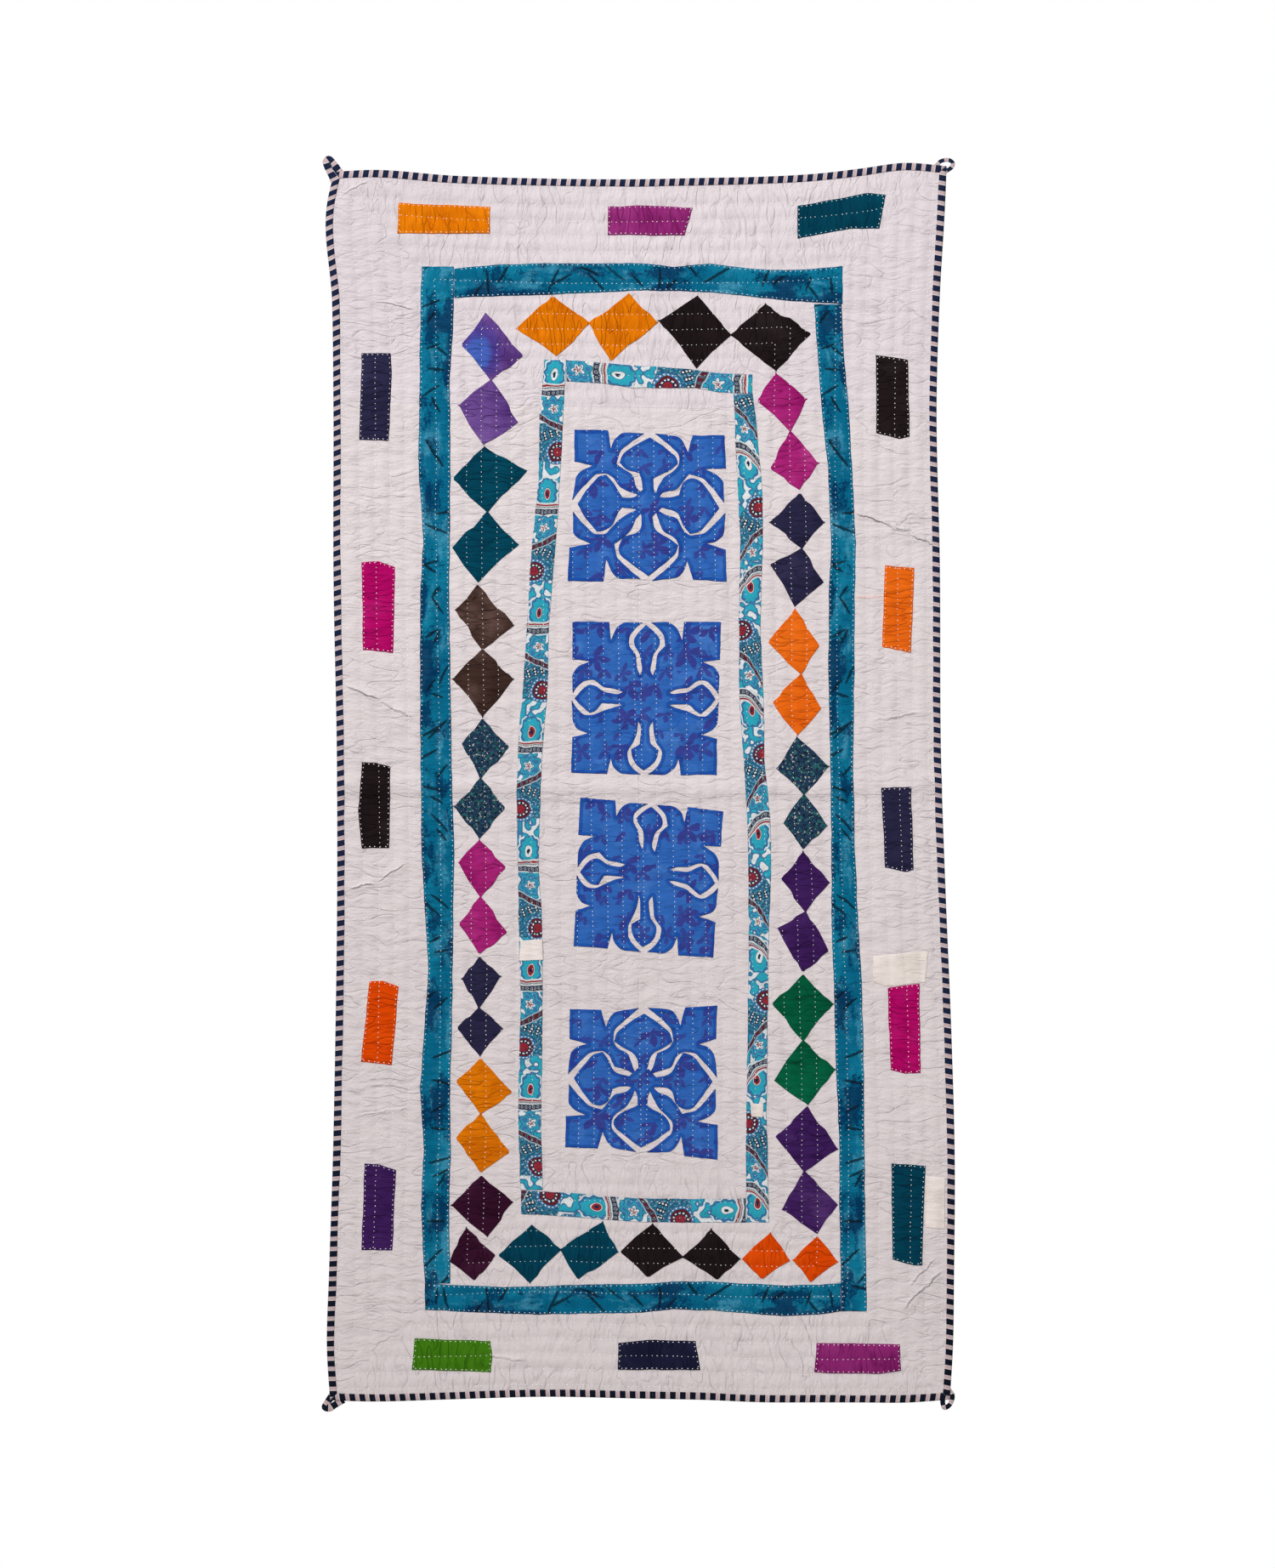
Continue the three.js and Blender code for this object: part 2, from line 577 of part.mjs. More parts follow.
addCloth('quilted_ground', groundGeometry(), colours.ground);
sides.forEach((side) => addCloth(`binding_${side}`, bindingGeometry(side), colours.binding));
loops.forEach((loop) => addCloth(loop.name, loopGeometry(loop), colours.binding));
sides.forEach((side) => {
  addCloth(`teal_strip_${side}`, applique(stripOutline(side, tealFrame[side]), stitchedSkin), colours.teal);
  addCloth(`paisley_strip_${side}`, applique(stripOutline(side, paisleyFrame[side]), stitchedSkin), colours.paisley);
  rectangles[side].forEach(([colour, ...corners], i) => {
    addCloth(`rectangle_${side}_${i + 1}`, applique(corners, stitchedSkin), colour);
  });
});
diamondPairs.forEach((pair) => addCloth(`diamonds_${pair[0]}`, applique(pairOutline(pair), spanningSkin), pair[1]));
singleDiamonds.forEach(([place, colour, ...corners]) => {
  addCloth(`diamond_${place}`, applique(corners, spanningSkin), colour);
});
cutworkSquares.forEach((square, i) => {
  addCloth(`cutwork_square_${i + 1}`, applique(cutworkOutline(square), spanningSkin), colours.cutwork);
});
addCloth('patch_right', applique(repairPatch, spanningSkin), colours.patch);

export default hanging;
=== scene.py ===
# Hand-quilted cotton wall hanging with applique, cut-work and a striped binding, dressed around its frame.
import json
import math

import bpy
import numpy as np
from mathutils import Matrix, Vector
from mathutils.geometry import delaunay_2d_cdt


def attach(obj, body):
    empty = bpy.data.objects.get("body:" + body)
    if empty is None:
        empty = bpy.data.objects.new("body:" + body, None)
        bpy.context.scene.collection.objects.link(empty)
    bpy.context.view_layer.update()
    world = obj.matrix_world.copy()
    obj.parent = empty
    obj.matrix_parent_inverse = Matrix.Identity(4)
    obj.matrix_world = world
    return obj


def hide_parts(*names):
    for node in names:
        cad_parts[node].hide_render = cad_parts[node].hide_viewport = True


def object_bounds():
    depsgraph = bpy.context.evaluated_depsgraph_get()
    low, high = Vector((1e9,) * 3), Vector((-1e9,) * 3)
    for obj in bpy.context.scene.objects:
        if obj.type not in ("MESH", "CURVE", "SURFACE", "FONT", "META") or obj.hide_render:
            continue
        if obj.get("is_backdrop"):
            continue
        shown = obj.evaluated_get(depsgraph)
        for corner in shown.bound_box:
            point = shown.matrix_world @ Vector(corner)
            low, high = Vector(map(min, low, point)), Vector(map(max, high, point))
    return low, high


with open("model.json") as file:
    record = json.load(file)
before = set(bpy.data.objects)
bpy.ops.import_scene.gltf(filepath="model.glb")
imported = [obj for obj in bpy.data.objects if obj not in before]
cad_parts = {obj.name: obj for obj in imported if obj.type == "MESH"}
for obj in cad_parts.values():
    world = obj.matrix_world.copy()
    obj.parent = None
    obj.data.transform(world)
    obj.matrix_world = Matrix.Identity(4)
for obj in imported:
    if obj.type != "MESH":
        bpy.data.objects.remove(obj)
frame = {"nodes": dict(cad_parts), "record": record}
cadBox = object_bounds()
slotOfNode = {part["node"]: part["material_slot"] for part in frame["record"]["subparts"]}
print("frame loaded")

mm = 0.001

# The hung cloth. A place on it is given as on the flat rectangle: across from the left edge, down from the
# top one.
cloth = {
    "width": 1000 * mm,
    "height": 1980 * mm,
    "backStand": 1.1 * mm,  # back of the ground off the wall
    "stitched": 2.4 * mm,  # thickness at a row of stitches
    "puff": 1.4 * mm,  # how much thicker it is between two rows
    "firstRow": 20 * mm,  # first row of stitches in from the edge
    "rowPitch": 25 * mm,
    "rings": 20,  # of stitch rows, one in the other
    "rowWander": 1.3 * mm,
    "fieldFrom": 380 * mm,  # from here down and up to here from below all the rows run upright
    "wrinkle": 0.95 * mm,
    "wrinkleSizes": mm * np.array([[34, 12.5], [50, 19]]),  # along and across, of two laid together
    "sag": 0.7 * mm,  # soft unevenness of the whole cloth
    # how far apart these change: how full a puff is, how strong the wrinkles are, the sag across and down
    "fullnessPatch": 60 * mm,
    "strengthPatch": 130 * mm,
    "sagPatch": (110 * mm, 160 * mm),
}

# Long edges from the top down: down, shift of the left and of the right edge, curl forward of each.
sideEdges = mm * np.array([
    [0, 2, -4, 1, 3], [50, -9, -6, 2, 4], [210, -1, -15, 4, 2], [370, 1, -20, 2, 1], [640, 1, -15, 1, 3],
    [960, 7, -13, 4, 5], [1180, 7, -5, 2, 2], [1400, 4, 4, 1, 3], [1600, 0, 9, 3, 5], [1780, -6, 8, 5, 3],
    [1900, -9, 6, 6, 4], [1980, -4, 1, 7, 6]])

# Short edges from left to right: across, rise of the top and of the bottom edge.
endEdges = mm * np.array([
    [0, 12, 0], [60, 15, -2], [190, 6, 1], [350, 1, 5], [500, 0, 2], [600, 2, 0], [700, 4, -4], [790, 9, -4],
    [860, 17, -4], [930, 26, -4], [1000, 21, 1]])

middleFold = {"ridge": 3.2 * mm, "half": 24 * mm}

# Folds left in the hung cloth: ends in X and Z, height and half width, all in millimetres.
creases = np.array([
    [346, -537, 412, -566, 2.6, 7], [405, -560, 440, -572, 3.0, 12], [436, -574, 480, -598, 2.6, 7],
    [350, -556, 470, -560, -1.2, 9],
    [-482, -820, -420, -846, 2.2, 7], [-425, -846, -364, -875, 1.6, 8],
    [-475, -1151, -430, -1140, 1.8, 7], [-432, -1140, -378, -1109, 1.6, 7],
    [422, -1834, 491, -1765, 2.2, 8], [430, -1800, 480, -1745, 1.4, 8],
    [-433, -197, -359, -210, 1.3, 5], [-432, -123, -429, -195, 0.9, 5],
    [-485, -26, -440, -2, 1.2, 6], [-470, -540, -410, -500, 1.0, 9], [-470, -720, -418, -735, 1.0, 8],
    [370, -880, 460, -862, 1.2, 8], [352, -1225, 420, -1190, 1.1, 8], [-355, -1500, -470, -1520, 1.3, 9],
    [-300, -1900, -180, -1915, 1.2, 8], [150, -1905, 260, -1880, 1.0, 8], [402, -180, 480, -240, 1.2, 9]])


# Smooth curve through the rows of a table: cubic pieces, whose slope at a row is that of the line between its
# neighbours.
def curveThrough(places, values, at):
    slopes = np.gradient(values, places)
    i = np.clip(np.searchsorted(places, at) - 1, 0, len(places) - 2)
    step = places[i + 1] - places[i]
    t = np.clip((at - places[i]) / step, 0, 1)
    return (values[i] * (1 + 2 * t) * (1 - t) ** 2 + values[i + 1] * t * t * (3 - 2 * t)
            + step * t * (1 - t) * (slopes[i] * (1 - t) - slopes[i + 1] * t))


# Smooth noise from 0 to 1: random values on a lattice, blended by an S-curve between its corners.
def smoothNoise(x, y, seed):
    lattice = np.random.default_rng(seed).random((256, 256))
    i, j = np.floor(x).astype(int), np.floor(y).astype(int)
    u, v = x - i, y - j
    u, v = u * u * (3 - 2 * u), v * v * (3 - 2 * v)
    corner = lambda a, b: lattice[(i + a) % 256, (j + b) % 256]
    return ((1 - v) * ((1 - u) * corner(0, 0) + u * corner(1, 0))
            + v * ((1 - u) * corner(0, 1) + u * corner(1, 1)))


# The same noise from -1 to 1.
def stray(x, y, seed):
    return 2 * smoothNoise(x, y, seed) - 1


# Two sizes of wrinkle laid together, long across the cloth; with order -1 they are long down the cloth.
def wrinkleNoise(across, down, seed, order):
    large, small = cloth["wrinkleSizes"][:, ::order]
    return (smoothNoise(across / large[0], down / large[1], seed)
            + 0.6 * smoothNoise(across / small[0], down / small[1], seed + 1))


# How far a place is moved by the bowed edges: their own shifts, shared out by how near each edge is.
def edgeShift(across, down):
    left = curveThrough(sideEdges[:, 0], sideEdges[:, 1], down)
    right = curveThrough(sideEdges[:, 0], sideEdges[:, 2], down)
    top = curveThrough(endEdges[:, 0], endEdges[:, 1], across)
    bottom = curveThrough(endEdges[:, 0], endEdges[:, 2], across)
    return left + (right - left) * across / cloth["width"], top + (bottom - top) * down / cloth["height"]


# How far the back of the cloth stands off its seat: both long edges curl, and the middle fold is a ridge.
def curl(across, down):
    share = across / cloth["width"]
    left = curveThrough(sideEdges[:, 0], sideEdges[:, 3], down)
    right = curveThrough(sideEdges[:, 0], sideEdges[:, 4], down)
    fromFold = (down - cloth["height"] / 2) / middleFold["half"]
    ridge = middleFold["ridge"] * np.clip(1 - fromFold ** 2, 0, 1) ** 2
    return left * (1 - share) ** 3 + right * share ** 3 + ridge


# A place on the flat cloth, out from the back of the ground, in its hung place.
def clothPoint(across, down, out):
    shiftX, shiftZ = edgeShift(across, down)
    return np.stack([across - cloth["width"] / 2 + shiftX,
                     -(cloth["backStand"] + curl(across, down) + out),
                     shiftZ - down], axis=-1)


# The flat place of a point seen at X and Z, found by taking its shift off a few times over.
def flatPlace(x, z):
    across, down = x + cloth["width"] / 2, -z
    for _ in range(5):
        inAcross = np.clip(across, 0, cloth["width"])
        inDown = np.clip(down, 0, cloth["height"])
        shiftX, shiftZ = edgeShift(inAcross, inDown)
        across, down = x + cloth["width"] / 2 - shiftX, shiftZ - z
    return across, down


# How far a place lies in from the nearest edge, with the slow wander of a hand-sewn row.
def rowInset(across, down):
    wander = cloth["rowWander"] * stray(across / 0.09, down / 0.09, 5)
    inset = np.minimum(across, cloth["width"] - across)
    fromEnd = np.minimum(down, cloth["height"] - down)
    inset = np.where(fromEnd > cloth["fieldFrom"], inset, np.minimum(inset, fromEnd))
    return inset + wander * np.clip((inset - 0.01) / 0.02, 0, 1)


# 1 where the rows run upright, 0 where they run level, blended along the mitres and at the field.
def uprightShare(across, down):
    fromSide = np.minimum(across, cloth["width"] - across)
    fromEnd = np.minimum(down, cloth["height"] - down)
    t = np.clip(0.5 + np.maximum((fromEnd - fromSide) / 0.04, (fromEnd - cloth["fieldFrom"]) / 0.015), 0, 1)
    return t * t * (3 - 2 * t)


# Ridges of the creases: a bell across each line, fading over its ends.
def creaseHeight(x, z):
    total = np.zeros_like(x)
    for x0, z0, x1, z1, height, half in creases * mm:
        length = math.hypot(x1 - x0, z1 - z0)
        ux, uz = (x1 - x0) / length, (z1 - z0) / length
        along = (x - x0) * ux + (z - z0) * uz
        side = (x - x0) * -uz + (z - z0) * ux + 0.003 * np.sin(along * 90)
        ends = np.clip(along / 0.012 + 0.5, 0, 1) * np.clip((length - along) / 0.012 + 0.5, 0, 1)
        total += height * ends * np.exp(-(side / half) ** 2)
    return total


# Front of the ground, out from its back: between two rows a puff, as high as the sine of the share of the way
# between them, wrinkles that run from row to row, and the creases.
def frontOut(across, down):
    inset = rowInset(across, down)
    phase = (inset - cloth["firstRow"]) / cloth["rowPitch"]
    nearEdge = np.clip(inset / cloth["firstRow"], 0, 1)
    edgePuff = 0.5 * np.sin(np.pi * nearEdge) ** 2 * (nearEdge > 0.55)
    rise = np.where(inset < cloth["firstRow"], edgePuff, np.abs(np.sin(np.pi * phase)) ** 0.85)
    fullness = 0.7 + 0.6 * smoothNoise(across / cloth["fullnessPatch"], down / cloth["fullnessPatch"], 11)
    upright = uprightShare(across, down)
    wrinkle = (upright * wrinkleNoise(across, down, 21, 1)
               + (1 - upright) * wrinkleNoise(across, down, 23, -1) - 0.8)
    strength = 0.35 + 1.1 * smoothNoise(across / cloth["strengthPatch"], down / cloth["strengthPatch"], 31)
    sag = smoothNoise(across / cloth["sagPatch"][0], down / cloth["sagPatch"][1], 41) - 0.5
    shiftX, shiftZ = edgeShift(np.clip(across, 0, cloth["width"]), np.clip(down, 0, cloth["height"]))
    body = np.clip(inset / 0.03, 0, 1)
    folds = creaseHeight(across - cloth["width"] / 2 + shiftX, shiftZ - down)
    return (cloth["stitched"] + cloth["puff"] * rise * fullness
            + body * (cloth["wrinkle"] * wrinkle * strength + cloth["sag"] * sag + folds))


# A mesh piece that rides on the frame, from its points, blocks of faces and values at its points.
def newPiece(name, points, blocks, slot, replaced=(), uv=None, values=None):
    mesh = bpy.data.meshes.new(name)
    mesh.from_pydata(points.tolist(), [], [face for block in blocks for face in block.tolist()])
    corners = np.empty(len(mesh.loops), dtype=np.int32)
    mesh.loops.foreach_get("vertex_index", corners)
    if uv is not None:
        mesh.uv_layers.new(name="cloth").data.foreach_set("uv", uv[corners].ravel().astype(np.float32))
    for key, value in (values or {}).items():
        layer = mesh.attributes.new(key, "FLOAT", "POINT")
        layer.data.foreach_set("value", np.ascontiguousarray(value, dtype=np.float32))
    mesh.polygons.foreach_set("use_smooth", np.ones(len(mesh.polygons), dtype=bool))
    mesh.update()
    piece = bpy.data.objects.new(name, mesh)
    bpy.context.scene.collection.objects.link(piece)
    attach(piece, "root")
    if replaced:
        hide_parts(*replaced)
    return piece


# Quads between the points of a grid that follow each other row by row.
def gridFaces(rows, columns, start=0):
    a = (np.arange(rows - 1)[:, None] * columns + np.arange(columns - 1)[None, :]).ravel() + start
    return np.stack([a, a + 1, a + columns + 1, a + columns], axis=-1)


# Bands of quads between closed rings of equally many points that follow each other in the point list.
def ringFaces(rings, size, start=0):
    i = np.arange(size)
    turn = (i + 1) % size
    return np.concatenate([np.stack([i, turn, turn + size, i + size], axis=-1) + start + ring * size
                           for ring in range(rings - 1)])


# The quilted ground: the step of its front grid, which meets every row of stitches, how many such steps make
# one of the back, and how far in its rim lies under the binding.
groundSheet = {"step": 5 * mm, "backEvery": 4, "tuck": 1.1 * mm}


# A fine front and a coarse back, each a grid of hung places, joined round the rim by fans of triangles.
def makeGround():
    step, every, tuck = groundSheet["step"], groundSheet["backEvery"], groundSheet["tuck"]
    lines = [np.clip(np.arange(round(cloth[side] / step) + 1) * step, tuck, cloth[side] - tuck)
             for side in ("height", "width")]
    backLines = [np.append(line[:-1:every], line[-1]) for line in lines]
    down, across = np.meshgrid(*lines, indexing="ij")
    backDown, backAcross = np.meshgrid(*backLines, indexing="ij")
    front = clothPoint(across, down, frontOut(across, down))
    back = clothPoint(backAcross, backDown, 0)
    index = np.arange(across.size).reshape(across.shape)
    backIndex = np.arange(backAcross.size).reshape(backAcross.shape) + across.size

    # Fans between a fine edge and a coarse one, point by point; flip turns them over.
    def rim(fine, coarse, flip):
        i = np.arange(len(fine) - 1)
        owner = np.minimum((i + every // 2) // every, len(coarse) - 1)
        j = np.arange(len(coarse) - 1)
        split = np.minimum(every // 2 + j * every, len(fine) - 1)
        fans = np.concatenate([np.stack([fine[i], fine[i + 1], coarse[owner]], axis=-1),
                               np.stack([fine[split], coarse[j + 1], coarse[j]], axis=-1)])
        return fans[:, ::-1] if flip else fans

    blocks = [gridFaces(*across.shape)[:, ::-1], gridFaces(*backAcross.shape, across.size),
              rim(index[0], backIndex[0], False), rim(index[-1], backIndex[-1], True),
              rim(index[:, 0], backIndex[:, 0], True), rim(index[:, -1], backIndex[:, -1], False)]
    allAcross = np.concatenate([across.ravel(), backAcross.ravel()])
    allDown = np.concatenate([down.ravel(), backDown.ravel()])
    values = {"upright": uprightShare(allAcross, allDown), "inset": rowInset(allAcross, allDown)}
    points = np.concatenate([front.reshape(-1, 3), back.reshape(-1, 3)])
    return newPiece("quiltedGround", points, blocks, slotOfNode["quilted_ground"], ["quilted_ground"],
                    np.stack([allAcross, allDown], axis=-1), values)


ground = makeGround()
print("ground made:", len(ground.data.vertices), "points")

# Cloths sewn on: their edges are turned under, so each is a low cushion with a rounded rim.
sewnOn = {
    "gap": 0.3 * mm,
    "thickness": 0.75 * mm,
    "pointStep": 2.5 * mm,  # between points of an outline
    "fill": 3.2 * mm,  # between points inside it
    "backFill": 9 * mm,
    "rim": 1.2 * mm,  # width of the rounded edge
    "sunk": 0.35 * mm,
    "wobble": 0.32 * mm,
    "stray": 0.6 * mm,
    "diamondStray": 3.6 * mm,
    "sharp": 0.9,  # a corner bends by more than this angle
    "roundings": 2,  # how often the outline is smoothed
    "cutworkRoundings": 6,
}
sewnTop = sewnOn["gap"] + sewnOn["thickness"]


# The outline of a packed cloth in X and Z: the edges that only one of its front triangles has, joined up by
# always turning as far to the outside as they allow.
def outlineOf(node):
    mesh = frame["nodes"][node].data
    mesh.calc_loop_triangles()
    points = np.empty(len(mesh.vertices) * 3)
    mesh.vertices.foreach_get("co", points)
    corners = np.empty(len(mesh.loop_triangles) * 3, dtype=np.int32)
    mesh.loop_triangles.foreach_get("vertices", corners)
    places, same = np.unique(points.reshape(-1, 3), axis=0, return_inverse=True)
    triangles = same.ravel()[corners].reshape(-1, 3)
    flat = places[:, [0, 2]]
    a, b, c = (places[triangles[:, k]] for k in range(3))
    facing = np.cross(b - a, c - a)
    front = triangles[-facing[:, 1] > 0.5 * np.linalg.norm(facing, axis=1)]
    edges = np.concatenate([front[:, [0, 1]], front[:, [1, 2]], front[:, [2, 0]]])
    count = len(places)
    forward, backward = edges[:, 0] * count + edges[:, 1], edges[:, 1] * count + edges[:, 0]
    border = edges[~np.isin(forward, backward)]
    after = {}
    for first, second in border.tolist():
        after.setdefault(first, []).append(second)
    start = border[np.argmin(flat[border[:, 0], 0]), 0]
    chain = [int(start)]
    heading = -math.pi / 2
    sharpest = math.pi - 0.01  # a turn straight back counts as the last choice
    while len(chain) == 1 or chain[-1] != start:
        steps = {end: flat[end] - flat[chain[-1]] for end in after[chain[-1]]}
        turns = {(math.atan2(dz, dx) - heading + sharpest) % (2 * math.pi): end
                 for end, (dx, dz) in steps.items()}
        turn = min(turns)
        heading += turn - sharpest
        chain.append(turns[turn])
    return dropStraight(flat[chain[:-1]])


# Points close behind another one, and points on the line between their neighbours, are left out.
def dropStraight(ring):
    ring = ring[np.hypot(*(ring - np.roll(ring, 1, axis=0)).T) > 0.3 * mm]
    before, following = np.roll(ring, 1, axis=0), np.roll(ring, -1, axis=0)
    line = following - before
    off = np.abs(line[:, 0] * (ring[:, 1] - before[:, 1]) - line[:, 1] * (ring[:, 0] - before[:, 0]))
    return ring[off > 0.02 * mm * np.hypot(line[:, 0], line[:, 1])]


# A closed outline at even steps.
def evenSteps(ring, step):
    closed = np.vstack([ring, ring[:1]])
    lengths = np.hypot(*np.diff(closed, axis=0).T)
    counts = np.maximum(np.round(lengths / step).astype(int), 1)
    edge = np.repeat(np.arange(len(ring)), counts)
    share = (np.arange(len(edge)) - np.repeat(np.cumsum(counts) - counts, counts)) / counts[edge]
    return closed[edge] + share[:, None] * (closed[edge + 1] - closed[edge])


# Unit normals into an outline: the line between a point's neighbours, turned a quarter to the left.
def inwardNormals(ring):
    run = np.roll(ring, -1, axis=0) - np.roll(ring, 1, axis=0)
    run /= np.maximum(np.hypot(run[:, 0], run[:, 1]), 1e-9)[:, None]
    return np.stack([-run[:, 1], run[:, 0]], axis=-1)


# How wide the cloth is at each point of its outline: the way to the nearest point that is clearly farther off
# along the outline than straight across, or a metre.
def localWidth(ring):
    steps = np.hypot(*(np.roll(ring, -1, axis=0) - ring).T)
    place = np.cumsum(steps) - steps
    apart = np.abs(place[:, None] - place[None, :])
    apart = np.minimum(apart, steps.sum() - apart)
    far = np.hypot(ring[:, None, 0] - ring[None, :, 0], ring[:, None, 1] - ring[None, :, 1])
    clearly = 1.15
    return np.where(apart > clearly * far + 1e-6, far, 1.0).min(axis=1)


# Whether points lie inside an outline, by how often a line to the right crosses it, and how far they lie from
# it. The points are taken in chunks that fit in memory.
def insideAndFar(points, ring):
    following = np.roll(ring, -1, axis=0)
    run = following - ring
    inside = np.zeros(len(points), dtype=bool)
    far = np.empty(len(points))
    for chunk in np.split(np.arange(len(points)), range(2000, len(points), 2000)):
        x, z = points[chunk, None, 0], points[chunk, None, 1]
        dx, dz = x - ring[None, :, 0], z - ring[None, :, 1]
        t = np.clip((dx * run[:, 0] + dz * run[:, 1]) / (run ** 2).sum(axis=1), 0, 1)
        squares = (dx - t * run[:, 0]) ** 2 + (dz - t * run[:, 1]) ** 2
        far[chunk] = np.sqrt(squares.min(axis=1))
        crosses = (ring[None, :, 1] > z) != (following[None, :, 1] > z)
        rise = np.where(run[:, 1] == 0, 1e-12, run[:, 1])
        left = x < ring[None, :, 0] + dz / rise * run[:, 0]
        inside[chunk] = (crosses & left).sum(axis=1) % 2 == 1
    return inside, far


# Triangles inside a closed outline, with points on a staggered grid that keep off its edge.
def fillRing(ring, step, keepOff):
    low, high = ring.min(axis=0), ring.max(axis=0)
    rowsApart = 0.87 * step  # as in triangles with equal sides
    z, x = np.meshgrid(np.arange(low[1], high[1], rowsApart), np.arange(low[0], high[0], step), indexing="ij")
    x = x + step / 2 * (np.arange(len(x)) % 2)[:, None]
    grid = np.stack([x.ravel(), z.ravel()], axis=-1)
    inside, far = insideAndFar(grid, ring)
    points = np.vstack([ring, grid[inside & (far > keepOff)]])
    places = [Vector(place) for place in (points / mm).tolist()]
    filled = delaunay_2d_cdt(places, [], [list(range(len(ring)))], 1, 1e-5)
    return np.array([tuple(place) for place in filled[0]]) * mm, np.array(filled[2])


# Coordinates along and across a strip: the middle line is a smooth curve through its outline.
def stripPlace(ring, points):
    along = 1 if np.ptp(ring[:, 1]) > np.ptp(ring[:, 0]) else 0
    middle = np.polynomial.Polynomial.fit(ring[:, along], ring[:, 1 - along], 7)
    across = points[:, 1 - along] - middle(points[:, along])
    return np.stack([-points[:, 1] if along else points[:, 0], across if along else -across], axis=-1)


# An outline as cut by hand: bends are rounded and corners kept, and the edge strays a little in two sizes.
def handCutOutline(corners, seed, roundings, reach):
    ring = evenSteps(corners, sewnOn["pointStep"])
    back, ahead = corners - np.roll(corners, 1, axis=0), np.roll(corners, -1, axis=0) - corners
    turned = back[:, 0] * ahead[:, 1] - back[:, 1] * ahead[:, 0]
    bend = np.abs(np.arctan2(turned, (back * ahead).sum(axis=1)))
    sharp = corners[bend > sewnOn["sharp"]]
    near = np.hypot(ring[:, None, 0] - sharp[None, :, 0], ring[:, None, 1] - sharp[None, :, 1]).min(axis=1)
    yields = np.clip(near / sewnOn["pointStep"] - 0.7, 0, 1)[:, None]
    for _ in range(roundings):
        ring = ring + yields * ((np.roll(ring, 1, axis=0) + np.roll(ring, -1, axis=0)) / 4 - ring / 2)
    run = np.arange(len(ring)) * sewnOn["pointStep"]
    strayed = (sewnOn["wobble"] * stray(run / 0.006, 0 * run, seed)
               + reach * stray(run / 0.026, 0 * run + 9, seed))
    most = 0.06 * localWidth(ring)
    return ring + inwardNormals(ring) * np.clip(strayed, -most, most)[:, None]


# The flat place of points seen at X and Z, and the height of the ground's front there.
def groundOut(places):
    across, down = flatPlace(places[:, 0], places[:, 1])
    return across, down, frontOut(across, down)


# A place seen at X and Z, lifted off the front of the ground.
def onGround(places, lift):
    across, down, out = groundOut(places)
    y = -(cloth["backStand"] + curl(across, np.clip(down, 0, cloth["height"])) + out + lift)
    return np.stack([places[:, 0], y, places[:, 1]], axis=-1)


sewnOutlines = {}


# A cloth sewn on along its outline: rings that rise from its edge to its flat top, a filled face inside them
# and a filled underside. Base is the height that it lies at off the ground.
def makeSewnOn(name, corners, slot, replaced, seed, roundings=sewnOn["roundings"], strip=False, base=0.0):
    reach = sewnOn["diamondStray"] if name.startswith("diamond") else sewnOn["stray"]
    ring = handCutOutline(corners, seed, roundings, reach)
    sewnOutlines[name] = ring
    width = np.minimum(sewnOn["rim"], 0.16 * localWidth(ring))
    inward = inwardNormals(ring)
    shares = [(0, -sewnOn["sunk"]), (0.12, 0.55 * sewnTop), (0.5, 0.93 * sewnTop)]
    rings = [ring + inward * (share * width)[:, None] for share, _ in shares]
    innerRing = ring + inward * width[:, None]
    face, triangles = fillRing(innerRing, sewnOn["fill"], sewnOn["fill"] * 0.6)
    under, underTriangles = fillRing(ring, sewnOn["backFill"], sewnOn["backFill"] * 0.6)
    size = len(ring)
    flat = np.vstack([*rings, face, under[size:]])
    lift = np.concatenate([np.full(size, height) for _, height in shares]
                          + [np.full(len(face), sewnTop), np.full(len(under) - size, -sewnOn["sunk"])])
    underIndex = underTriangles + np.where(underTriangles < size, 0, 2 * size + len(face))
    # the first points of the face make the fourth ring
    blocks = [ringFaces(4, size), triangles + 3 * size, underIndex[:, ::-1]]
    across, down, _ = groundOut(flat)
    _, far = insideAndFar(flat, ring)
    far[:size] = 0
    values = {"upright": uprightShare(across, down), "edge": far / mm, "inset": rowInset(across, down)}
    uv = stripPlace(ring, flat) if strip else flat
    return newPiece(name, onGround(flat, lift + base), blocks, slot, replaced, uv, values)


# The name of a node, written as the pieces are named here.
def camel(text):
    first, *rest = text.split("_")
    return first + "".join(word.capitalize() for word in rest)


sewnPieces = {}
sewnNodes = [node for node in slotOfNode if node.split("_")[0] in
             ("teal", "paisley", "rectangle", "diamonds", "diamond", "cutwork", "patch")]
for seed, node in enumerate(sewnNodes):
    roundings = sewnOn["cutworkRoundings" if node.startswith("cutwork") else "roundings"]
    sewnPieces[node] = makeSewnOn(camel(node), outlineOf(node), slotOfNode[node], [node], 100 + seed,
                                  roundings, "strip" in node)

# Small cream patches over worn places: name, corners in X and Z, and whether it lies on a strip.
smallPatches = {
    "patchLeft": ([[-197, -1268], [-159, -1266], [-160, -1233], [-196, -1235]], True),
    "patchLow": ([[179, -1521], [198, -1522], [199, -1500], [178, -1499]], True),
    "patchEdge": ([[461, -1700], [493, -1702], [493, -1619], [462, -1617]], False),
}
for seed, (name, (corners, onStrip)) in enumerate(smallPatches.items()):
    corners = mm * np.array(corners, dtype=float)
    sewnPieces[name] = makeSewnOn(name, corners, slotOfNode["patch_right"], (), 200 + seed,
                                  base=onStrip * sewnTop)
faceCount = sum(len(piece.data.polygons) for piece in sewnPieces.values())
print("cloths sewn on:", len(sewnPieces), "with", faceCount, "faces")

